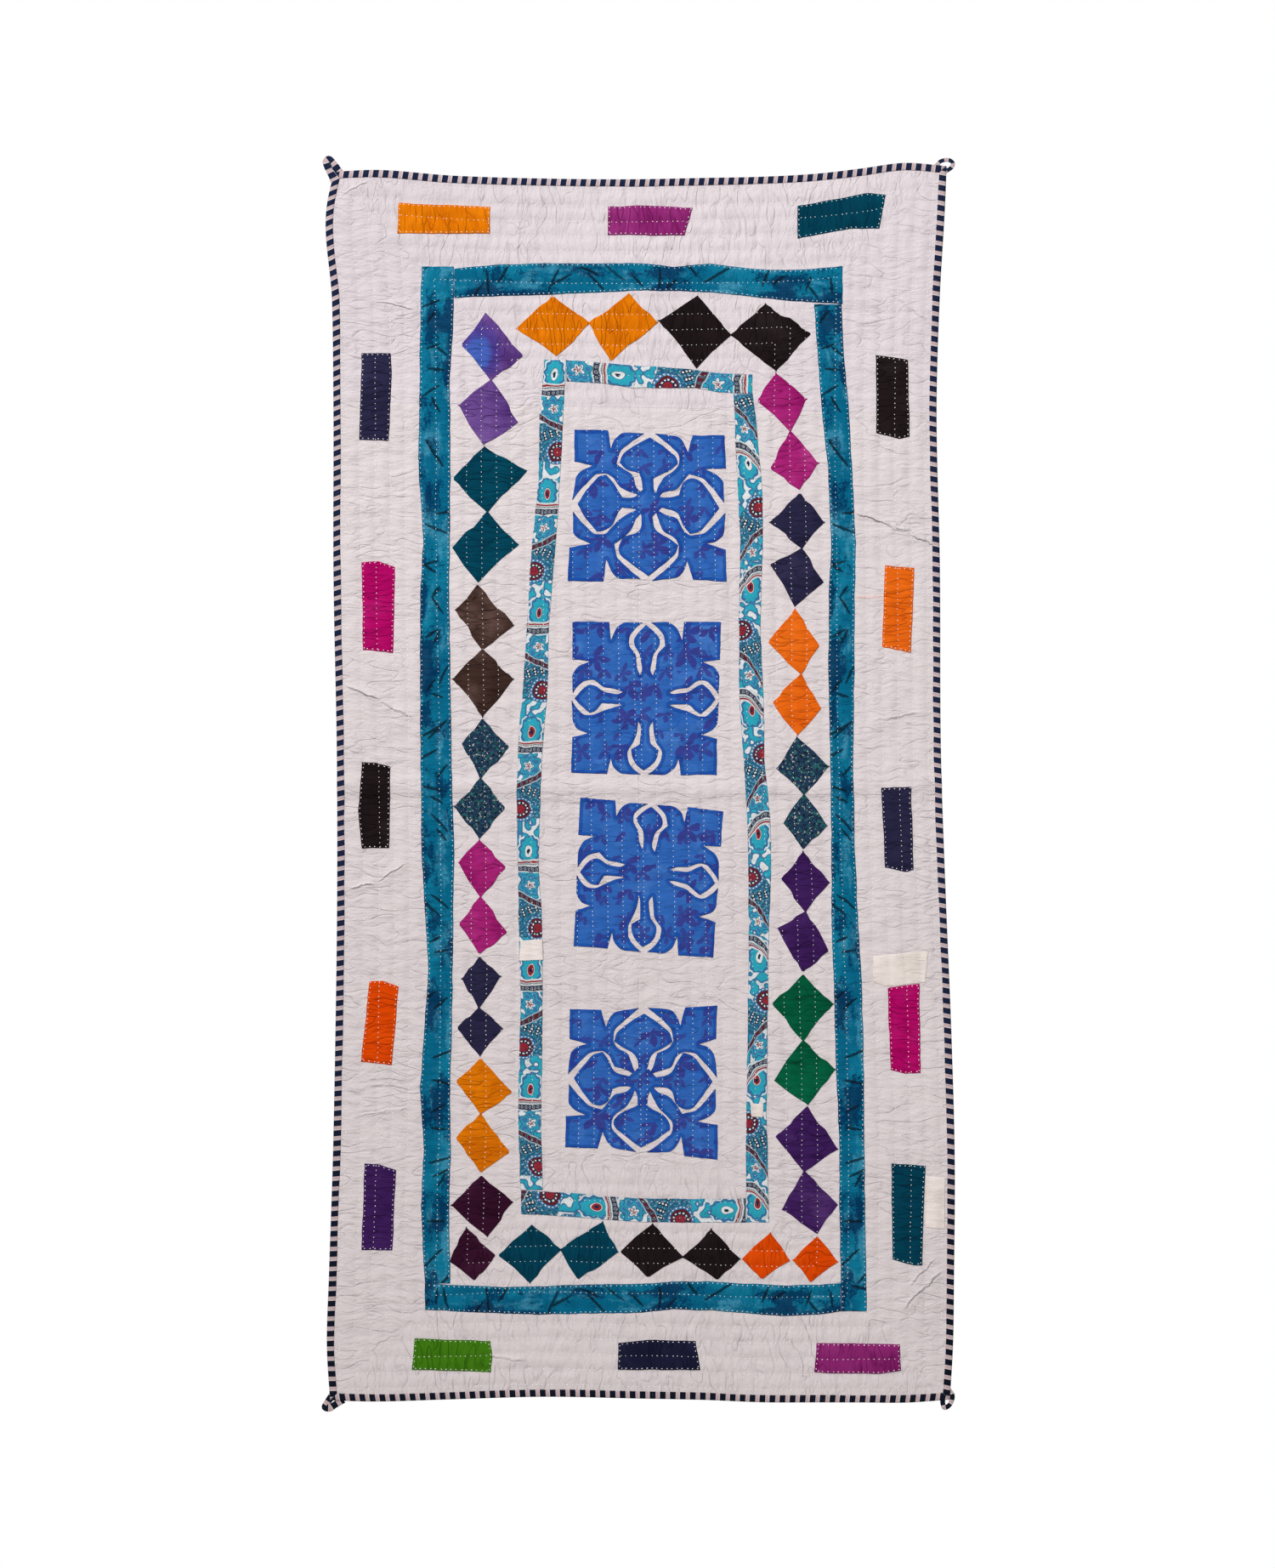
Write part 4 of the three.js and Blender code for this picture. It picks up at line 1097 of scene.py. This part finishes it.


# Dyed plain cloth: mottling of two sizes, painted shade in its wrinkles and a turned edge partly in painted
# shade.
def dyedFinish(name, main, dark, light, strength, size):
    f = Finish(f"{name}Dye")
    wrinkle = f.wrinkles(18.0, 66.0)
    fine = f.wrinkles(24.0, 125.0, 8.0)
    crease = crinkle(f, 14.0, 60.0, 3.0, 0.36)
    cloud = f.noise(f.place, size, 4.0, 0.6) + f.drift(0.7, size * 0.45)
    # Painted shade in the wrinkles and creases.
    hollow = wrinkle.rise(0.46, 0.3) * dyeLook["wrinkleDark"] + crease * dyeLook["creaseDark"]
    base = f.layers(colour(*main),
                    (colour(*light), cloud.rise(0.5, 0.72) * strength),
                    (colour(*dark), cloud.rise(0.48, 0.26) * strength),
                    (colour(*dark), hollow),
                    # A darker turned edge, partly the doubled cloth and partly painted shade.
                    (colour(*dark), f.value("edge").rise(dyeLook["hemWidth"], 0.3) * dyeLook["hemDark"]))
    return f, base, wrinkle * 5.0 + fine * 2.8 - crease * 2.2 + f.weave() * 0.08


for name, (*look, nodes) in dyes.items():
    f, base, height = dyedFinish(name, *look)
    paint([sewnPieces[node] for node in nodes], f.finish(base, height))


# The violet pair: mottled purple, with a blue bloom at the left of the upper diamond.
def violetFinish():
    f, base, height = dyedFinish("violet", (106, 72, 142), (76, 42, 112), (136, 106, 166), 0.85, 13)
    bloom = f.noise(f.place, 17.0, 4.0, 0.65)
    dx, dz = (f.x + 266 * mm) / (22 * mm), (f.z + 284 * mm) / (32 * mm)
    away = dx * dx + dz * dz + (bloom - 0.5) * 3.2
    upper = f.z.rise(-0.325, -0.31)
    base = f.layers(base, (colour(64, 56, 140), away.rise(4.5, 1.2) * upper * 0.75),
                    (colour(66, 100, 188), away.rise(1.3, 0.2) * upper * 0.85))
    return f.finish(base, height)


paint([sewnPieces["diamonds_violet_left"]], violetFinish())

# Teal tie-dye: watery blotches, brush marks along the strip, and dry black strokes, some to a cell.
tealLook = {"cell": 88 * mm, "strokeHalf": 24 * mm, "strokeWidth": 2.3 * mm, "strokeReach": 30 * mm}
tealColours = colours({
    "base": (4, 102, 136), "light": (66, 146, 176), "bright": (14, 124, 156), "dark": (0, 46, 86),
    "ink": (12, 26, 38),
})


# One dry stroke to a cell of the strip, at its own place and angle, ragged where the brush ran dry.
def strokes(f, u, v, offset, seed):
    cell = tealLook["cell"]
    place = u / cell + offset
    number = place.math("FLOOR")
    angle = (f.dice(number, 1.0, seed) - 0.5) * 2.4
    du = (place - number - 0.5 + (f.dice(number, 2.0, seed) - 0.5) * 0.3) * cell
    dv = v - (f.dice(number, 3.0, seed) - 0.5) * tealLook["strokeReach"]
    cosine, sine = angle.math("COSINE"), angle.math("SINE")
    along = dv * cosine + du * sine
    bend = (f.dice(number, 6.0, seed) - 0.5) * 8
    side = du * cosine - dv * sine + f.drift(3.5 * mm, 80.0, 3.0, 0.6) + along * along * bend
    half = tealLook["strokeHalf"] * (0.45 + 0.55 * f.dice(number, 4.0, seed))
    share = along / half
    dry = f.noise(f.vector(along * 260, side * 700, seed), detail=3.0, roughness=0.7)
    body = abs(side / tealLook["strokeWidth"]) + share * share * 0.6 - (dry - 0.5) * 2.2
    shown = f.dice(number, 5.0, seed).rise(0.12, 0.16)
    return abs(share).rise(1.0, 0.85) * body.rise(1.3, 0.7) * shown


# Blotches, brush marks and deep pools of stretched noise, broken up by a fine grain, and three sets of
# strokes.
def tealFinish():
    f = Finish("tealTieDye")
    u, v, _ = f.clothPlace()
    blot = f.noise(f.vector(u * 15, v * 22, 1.0), detail=4.0, roughness=0.62)
    brush = f.noise(f.vector(u * 24, v * 90, 5.0), detail=3.0, roughness=0.65)
    deep = f.noise(f.vector(u * 11, v * 18, 9.0), detail=4.0, roughness=0.6)
    pool = f.noise(f.vector(u * 7, v * 12, 19.0), detail=2.0)
    grain = f.noise(f.place, 330.0, 3.0, 0.6)
    light = (blot * 0.62 + brush * 0.38 + (grain - 0.5) * 0.25).rise(0.5, 0.6)
    dark = (deep + (grain - 0.5) * 0.3).rise(0.5, 0.58)
    ink = strokes(f, u, v, 0.0, 1.0)
    for offset, seed in ((0.5, 2.0), (0.27, 3.0)):
        ink = ink.math("MAXIMUM", strokes(f, u, v, offset, seed))
    wrinkle = f.wrinkles(22.0, 100.0)
    base = f.layers(tealColours["base"],
                    (tealColours["bright"], pool.rise(0.46, 0.6) * 0.8),
                    (tealColours["light"], light * 0.8),
                    (tealColours["dark"], dark * 0.88),
                    (tealColours["ink"], ink * 0.85),
                    # Painted shade in the wrinkles, and a darker turned edge, partly painted shade.
                    (tealColours["dark"], wrinkle.rise(0.42, 0.28) * 0.35),
                    (tealColours["dark"], f.value("edge").rise(1.8, 0.3) * 0.35))
    return f.finish(base, wrinkle * 4.6 + f.weave() * 0.08)


paint(named("tealStrip"), tealFinish())

# Paisley print, worked out along and across each strip in millimetres. A period holds one drop, one band, one
# rounded cell, one slanting band, a field of capsules and one medallion.
paisley = {
    "period": 193.0,
    "colours": {
        "white": (224, 228, 228), "turquoise": (46, 166, 188), "blue": (62, 120, 164), "steel": (42, 96, 128),
        "navy": (46, 54, 76), "ink": (28, 42, 64), "red": (152, 42, 52), "darkRed": (100, 34, 44),
    },
    # where the print starts along the strip, its direction and size, how bowed its bands are, and about where
    "strips": {
        "Top": (220, -1, 1.18, 0.006, 0),
        "Right": (688, -1, 1.035, 0.028, 15),
        "Bottom": (-100, 1, 1.1, 0.01, 6),
        "Left": (293, 1, 1.0, 0.004, 0),
    },
}


# Distance from a middle and the direction seen from it, in a print stretched along the strip.
def around(a, b, middleA, middleB, stretch=1.0):
    da, db = (a - middleA) * stretch, b - middleB
    return (da * da + db * db).math("SQRT"), db.math("ARCTAN2", da)


# Distance to the middle of the nearest of a row of marks.
def rowOf(value, pitch):
    share = value / pitch
    return (share - share.math("ROUND")) * pitch


# The print from the ground up: each motif is a distance from a middle or a line, cut into rings of colour.
def paisleyFinish(side, start, direction, size, bow, lean):
    f = Finish(f"paisley{side}")
    u, v, _ = f.clothPlace()
    white, turquoise, blue, steel, navy, ink, red, darkRed = colours(paisley["colours"]).values()
    driftA, driftB = ((f.noise(f.vector(u * 60, v * 60, layer), detail=1.0) - 0.5) * 6
                      for layer in (1.0, 4.0))
    along = (u / mm - start) * (direction / size) + driftA
    number = (along / paisley["period"]).math("FLOOR")
    a = along - number * paisley["period"]
    turn = 1 - 2 * (number * 0.5).math("FRACT").rise(0.2, 0.3)
    b = (v / mm / size + driftB) * turn
    bowed = a + (b - lean) * (b - lean) * bow
    fine = f.noise(f.vector(u * 320, v * 320, 2.0), detail=1.0)
    echo = f.noise(f.vector(u * 90, v * 90, 6.0), detail=0.0)
    # white ground with blue lobes, echoed by thin lines
    base = f.layers(white, (turquoise, echo.rise(0.54, 0.55)), (blue, echo.near(0.5, 0.05, 0.008)),
                    *((ink, echo.near(at, 0.004, 0.006) * 0.8) for at in (0.445, 0.558)),
                    (ink, fine.rise(0.68, 0.7) * 0.7))
    # steel field with capsules and echo lines
    field = bowed.rise(103.5, 104.5) * bowed.rise(167, 164)
    lines = (a * 0.75 + b * 0.55 + echo * 9).math("SINE").rise(0.45, 0.8)
    slantA, slantB = (a - 120) * 0.93 + b * 0.34, b * 0.93 - (a - 120) * 0.34
    lane = abs(rowOf(slantB, 10.0))
    capsule = ((abs(slantA) - 6).math("MAXIMUM", 0.0) + lane).rise(3.2, 2.7)
    bead = rowOf(slantA, 4.6)
    beads = (bead * bead + lane * lane).rise(2.6, 1.5) * abs(slantA).rise(8.4, 7.8)
    base = f.layers(base, (steel, field), (turquoise, field * lines * 0.45),
                    (white, field * fine.rise(0.63, 0.66) * 0.8), (ink, capsule), (white, beads))
    # drop with its eye
    radius, heading = around(a, b, 24, 0.5, 0.72)
    edge = radius - 13 - (heading * 11).math("COSINE") * 1.1 - (heading * 2).math("COSINE") * 1.5
    eye, _ = around(a, b, 25, 0, 0.55)
    base = f.layers(base, (white, edge.rise(7.6, 7.0)), (ink, edge.near(7.2, 0.15, 0.4) * 0.8),
                    (blue, edge.rise(5.2, 4.8)), (ink, edge.near(2.6, 0.15, 0.35) * 0.7),
                    (turquoise, edge.rise(1.4, 1.0)), (ink, edge.near(-2.4, 0.1, 0.35) * 0.5),
                    (white, eye.rise(5.6, 5.2)), (ink, eye.near(5.5, 0.25, 0.4)),
                    (red, eye.rise(4.8, 4.2) * f.dice(number, 3.0, start).rise(0.49, 0.51)),
                    (ink, (eye + (fine - 0.5) * 3).rise(2.4, 1.8)))
    # level band: red line, ticks, navy with rings
    tick = abs(rowOf(b, 1.9)).rise(0.75, 0.45)
    ringB, ringA = rowOf(b, 6.6), bowed - 54.5
    rings = (ringA * ringA + ringB * ringB).math("SQRT").near(1.7, 0.3, 0.4)
    base = f.layers(base, (white, bowed.near(50, 10.6, 0.3)), (red, bowed.near(43.5, 1.3, 0.3)),
                    (ink, bowed.near(46.8, 1.3, 0.2) * tick), (ink, bowed.near(41.2, 0.15, 0.3)),
                    (navy, bowed.near(54.5, 4.6, 0.3)),
                    *((white, bowed.near(at, 0.12, 0.3) * 0.8) for at in (58.3, 50.7)), (white, rings * 0.75))
    # rounded cell with a white cloud
    radius, heading = around(a, b, 80, 0, 0.86)
    edge = radius - 15 - (heading * 6 + number * 2).math("COSINE") * 2.4
    cloud, bearing = around(a, b, 80, 2.5)
    cloud = cloud - 6.4 - (bearing * 5 + 1).math("COSINE") * 2.1
    base = f.layers(base, (blue, edge.rise(1.6, 1.2)), (ink, edge.near(1.5, 0.2, 0.4)),
                    (turquoise, edge.near(-1.6, 0.9, 0.3)), (turquoise, cloud.near(3.2, 0.9, 0.3)),
                    (white, cloud.rise(0.3, 0.0)), (ink, cloud.near(0.4, 0.15, 0.4)),
                    (ink, cloud.rise(-1.2, -1.6) * fine.rise(0.52, 0.55) * 0.8),
                    (red, cloud.rise(-3.4, -4.2) * 0.85))
    # slanting band with dark red squares
    slant = bowed - 104 - b * 0.5
    squareB = abs(rowOf(b, 8.4))
    base = f.layers(base, (white, slant.near(0, 5.9, 0.3)), (navy, slant.near(0, 5.0, 0.3)),
                    (darkRed, slant.near(0, 2.4, 0.3) * squareB.rise(2.4, 2.1)),
                    (white, slant.near(0, 2.9, 0.3) * squareB.near(3.2, 0.1, 0.35) * 0.7),
                    *((white, slant.near(at, 0.1, 0.35) * 0.8) for at in (4.2, -4.2)))
    # medallion at one edge
    radius, heading = around(a, b, 150, 13)
    dot = (heading * 11).math("COSINE").rise(-0.1, 0.2)
    base = f.layers(base, (blue, radius.rise(20.5, 20.0)), (ink, radius.near(20.2, 0.15, 0.4)),
                    (white, radius.near(17.6, 0.8, 0.3) * (heading * 19).math("COSINE").rise(0, 0.3)),
                    (ink, radius.rise(15.6, 15.3)), (darkRed, radius.near(13.4, 1.5, 0.3)),
                    (white, radius.near(10.0, 1.2, 0.3) * dot), (red, radius.rise(7.4, 7.0)),
                    (ink, radius.rise(7.0, 6.6) * fine.rise(0.54, 0.6) * 0.7))
    wrinkle = f.wrinkles(24.0, 100.0)
    edge = f.value("edge")
    # Painted shade in the wrinkles, and a darker turned edge, partly painted shade.
    base = f.layers(base, (steel, wrinkle.rise(0.42, 0.28) * 0.25), (steel, edge.rise(1.2, 0.2) * 0.4))
    return f.finish(base, wrinkle * 2.2 + f.weave() * 0.08)


for side, look in paisley["strips"].items():
    paint(named(f"paisleyStrip{side}"), paisleyFinish(side, *look))

# Blue cloth with violet sprigs in two sizes.
cutworkLook = {"hemWidth": 5.4, "largeSprig": 47 * mm, "smallSprig": 33 * mm}
cutworkColours = colours({
    "main": (50, 104, 184), "light": (80, 130, 204), "deep": (30, 84, 166), "leaf": (56, 52, 134),
    "hem": (14, 68, 160), "rim": (14, 30, 92),
})


# Sprigs and their stems: in a cell of a loose grid up to five pointed leaves round a middle, turned their own
# way, their reach a power of a sine of the direction.
def sprigs(f, size, offset, seed):
    px = (f.x + f.drift(12 * mm, 45.0, 3.0, 0.6)) / size + offset
    pz = (f.z + f.drift(12 * mm, 45.0, 3.0, 0.6, layer=4.0)) / size + offset * 1.7
    i, j = px.math("FLOOR"), pz.math("FLOOR")
    dx = px - i - 0.5 + (f.dice(i, j, seed + 1) - 0.5) * 0.3
    dz = pz - j - 0.5 + (f.dice(i, j, seed + 2) - 0.5) * 0.3
    radius = (dx * dx + dz * dz).math("SQRT")
    angle = dz.math("ARCTAN2", dx) + f.dice(i, j, seed) * 6.28
    leaves = (1 - abs((angle * 2.5).math("SINE"))) ** 0.34 * (angle * 0.5).math("COSINE").rise(-0.6, 0.5)
    reach = leaves * (0.46 + 0.16 * f.dice(i, j, seed + 4)) + 0.03
    shown = f.dice(i, j, seed + 5).rise(0.22, 0.26)
    stem = (angle.math("SINE") * radius).near(0, 0.006, 0.012) * radius.rise(0.5, 0.42)
    return (radius - reach).rise(0.015, -0.015) * shown, stem * shown


# Mottled blue, the sprigs over it, a darker hem where the cloth is turned under, a dark rim, and painted
# shade.
def cutworkFinish():
    f = Finish("bluePrint")
    wrinkle = f.wrinkles(22.0, 75.0)
    crease = crinkle(f, 16.0, 50.0, 5.0)
    slack = f.noise(f.place, 26.0, 2.0)
    cloud = f.noise(f.place, 24.0, 4.0, 0.6)
    large, largeStem = sprigs(f, cutworkLook["largeSprig"], 0.0, 1.0)
    small, smallStem = sprigs(f, cutworkLook["smallSprig"], 0.4, 11.0)
    edge = f.value("edge") + f.drift(2.4, 90.0)
    hem = edge.rise(cutworkLook["hemWidth"] + 0.6, cutworkLook["hemWidth"] - 0.6)
    base = f.layers(cutworkColours["main"],
                    (cutworkColours["light"], cloud.rise(0.5, 0.72) * 0.6),
                    (cutworkColours["deep"], cloud.rise(0.48, 0.3) * 0.6),
                    (cutworkColours["leaf"], large.math("MAXIMUM", small * 0.85) * (0.68 + cloud * 0.3)),
                    (cutworkColours["leaf"], largeStem.math("MAXIMUM", smallStem) * 0.6),
                    (cutworkColours["hem"], hem * 0.6),
                    # The dark rim is partly the edge of the cloth and partly painted shade.
                    (cutworkColours["rim"], edge.rise(1.2, 0.2) * 0.55),
                    # Painted shade in the wrinkles and creases, in the hem colour.
                    (cutworkColours["hem"], wrinkle.rise(0.45, 0.28) * 0.3 + crease * 0.35))
    height = wrinkle * 3.8 + slack * 3.0 - crease * 1.5 + f.weave() * 0.08 + edge.rise(6.2, 5.2) * 0.5
    return f.finish(base, height)


paint(named("cutwork"), cutworkFinish())

# Dark blue cloth strewn with small green, cream and black shapes.
printColours = colours({
    "main": (34, 58, 84), "green": (44, 104, 104), "cream": (196, 196, 180), "black": (14, 18, 28),
    "rim": (12, 26, 46),
})


# Three layers of noise, each seen where it is high.
def printFinish():
    f = Finish("darkBluePrint")
    wrinkle = f.wrinkles(22.0, 95.0)
    motif = f.noise(f.place, 150.0, 2.0, 0.6)
    second = f.noise(f.vector(f.x, 6.0, f.z), 190.0, 2.0, 0.6)
    third = f.noise(f.vector(f.x, 9.0, f.z), 240.0, 1.0)
    base = f.layers(printColours["main"], (printColours["green"], motif.rise(0.56, 0.6) * 0.85),
                    (printColours["cream"], second.rise(0.62, 0.65) * 0.85),
                    (printColours["black"], third.rise(0.58, 0.62) * 0.9),
                    # A darker turned edge, partly painted shade.
                    (printColours["rim"], f.value("edge").rise(1.6, 0.3) * 0.4))
    return f.finish(base, wrinkle * 2.4 + f.weave() * 0.08)


paint([sewnPieces["diamonds_print_right"], sewnPieces["diamonds_print_left"]], printFinish())


# Cream cotton with slow clouds.
def creamFinish():
    f = Finish("creamCotton", 0.95)
    cloud = f.noise(f.place, 24.0, 3.0)
    base = f.mix(colour(244, 232, 226), colour(228, 216, 208), cloud.rise(0.4, 0.7))
    return f.finish(base, f.wrinkles() * 2.0 + crinkle(f, 18.0, 60.0, 2.0) + f.weave() * 0.1)


paint(named("patch"), creamFinish())

# Striped cloth: a navy block and a light one with three fine pinstripes to each period along the strip.
stripeLook = {"period": 16.1 * mm, "navyShare": 0.61, "pinstripes": (0.73, 0.82, 0.91)}
stripeColours = colours({
    "light": (214, 198, 198), "pin": (150, 84, 92), "navy": (27, 36, 64), "lowNavy": (17, 22, 38),
    "slub": (120, 120, 140),
})


# The stripes follow the share of the period; the navy is darker towards the bottom, a painted shade.
def stripedFinish():
    f = Finish("stripedCotton")
    u, v, _ = f.clothPlace()
    phase = (u / stripeLook["period"]).math("FRACT")
    end = stripeLook["navyShare"] + 0.05
    navy = phase.rise(0.04, 0.07) * phase.rise(end, end - 0.03)
    lines = sum(phase.near(at, 0.018, 0.014) for at in stripeLook["pinstripes"])
    slub = f.noise(f.vector(u * 500, v * 60, 0.0), detail=2.0)
    # Painted shade: the navy darkens towards the bottom, where the light falls off.
    navyColour = f.mix(stripeColours["navy"], stripeColours["lowNavy"], f.z.rise(-1.2, -1.9))
    base = f.layers(stripeColours["light"], (stripeColours["pin"], lines * 0.75), (navyColour, navy),
                    (stripeColours["slub"], slub.rise(0.62, 0.8) * 0.2))
    wrinkle = f.noise(f.vector(u * 160, v * 50, 2.0), detail=2.0)
    return f.finish(base, wrinkle * 0.9 + f.weave() * 0.1)


paint(named("binding", "loop"), stripedFinish())
print("finishes laid on")

# The photograph's view: the size of a pixel on the cloth, and the pixel of the middle of the top edge.
view = {
    "pixel": 1.38 * mm,
    "width": 1500,
    "height": 1844,
    "topMiddle": (754, 211),
    "lens": 80.0,
    "sensor": 36.0,
}


# A camera that looks straight at the wall, as far off as the frame is high times the lens over the sensor.
def makeCamera():
    frameHeight = view["height"] * view["pixel"]
    x = (view["width"] / 2 - view["topMiddle"][0]) * view["pixel"]
    z = (view["topMiddle"][1] - view["height"] / 2) * view["pixel"]
    away = frameHeight * view["lens"] / view["sensor"]
    data = bpy.data.cameras.new("photographView")
    data.lens, data.sensor_width = view["lens"], view["sensor"]
    camera = bpy.data.objects.new("photographView", data)
    camera.location = (x, -away, z)
    camera.rotation_euler = (math.pi / 2, 0, 0)
    bpy.context.scene.collection.objects.link(camera)
    bpy.context.scene.camera = camera


# A round lamp turned to its target.
def makeLight(name, place, target, size, power):
    data = bpy.data.lights.new(name, "AREA")
    data.shape, data.size, data.energy = "DISK", size, power
    light = bpy.data.objects.new(name, data)
    light.location = place
    light.rotation_euler = (Vector(target) - Vector(place)).to_track_quat("-Z", "Y").to_euler()
    bpy.context.scene.collection.objects.link(light)


# Soft studio light: a wide lamp high up in front, weaker ones beside the cloth and behind it, and even light
# from all round. The floor lies well below the hanging.
studio = {
    "ambient": 0.13,
    "floorBelow": 0.85,
    "floorFront": 2.6,
    "floorBehind": 1.1,
    "lamps": {
        "highLamp": {"place": (-2.6, -3.9, 3.3), "target": (0, 0, -0.85), "size": 1.3, "power": 345},
        "sideLamp": {"place": (1.4, -2.5, -0.8), "target": (0, 0, -0.8), "size": 1.0, "power": 18},
        "backLamp": {"place": (2.4, 3.9, 1.2), "target": (0, 0, -0.9), "size": 2.0, "power": 190},
    },
}


# The camera sees a white world, which lights the cloth by less. The floor is one pale rectangle.
def makeStudio():
    world = bpy.data.worlds.new("studio")
    world.use_nodes = True
    bpy.context.scene.world = world
    tree = world.node_tree
    background = tree.nodes["Background"]
    rays = tree.nodes.new("ShaderNodeLightPath")
    strength = tree.nodes.new("ShaderNodeMapRange")
    strength.inputs["To Min"].default_value = studio["ambient"]
    strength.inputs["To Max"].default_value = 1.0
    tree.links.new(rays.outputs["Is Camera Ray"], strength.inputs["Value"])
    tree.links.new(strength.outputs["Result"], background.inputs["Strength"])
    background.inputs["Color"].default_value = (1, 1, 1, 1)
    for name, lamp in studio["lamps"].items():
        makeLight(name, **lamp)
    low, side, behind = -cloth["height"] - studio["floorBelow"], studio["floorFront"], studio["floorBehind"]
    corners = [(-side, -side, low), (side, -side, low), (side, behind, low), (-side, behind, low)]
    floor = bpy.data.meshes.new("floor")
    floor.from_pydata(corners, [], [(0, 1, 2, 3)])
    piece = bpy.data.objects.new("floor", floor)
    bpy.context.scene.collection.objects.link(piece)
    f = Finish("paleFloor")
    paint([piece], f.finish(f.shade(colour(216, 215, 213), 0.97 + f.noise(f.place, 3.0) * 0.05)))
    piece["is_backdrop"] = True


makeCamera()
makeStudio()
bpy.context.scene.view_settings.view_transform = "Standard"

onGroundPieces = named("binding", "loop", "thread") + list(sewnPieces.values())
onGroundPieces.sort(key=lambda piece: piece.name)

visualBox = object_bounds()
({"cad": [list(map(float, corner)) for corner in cadBox],
           "visual": [list(map(float, corner)) for corner in visualBox]})
print("hanging dressed")
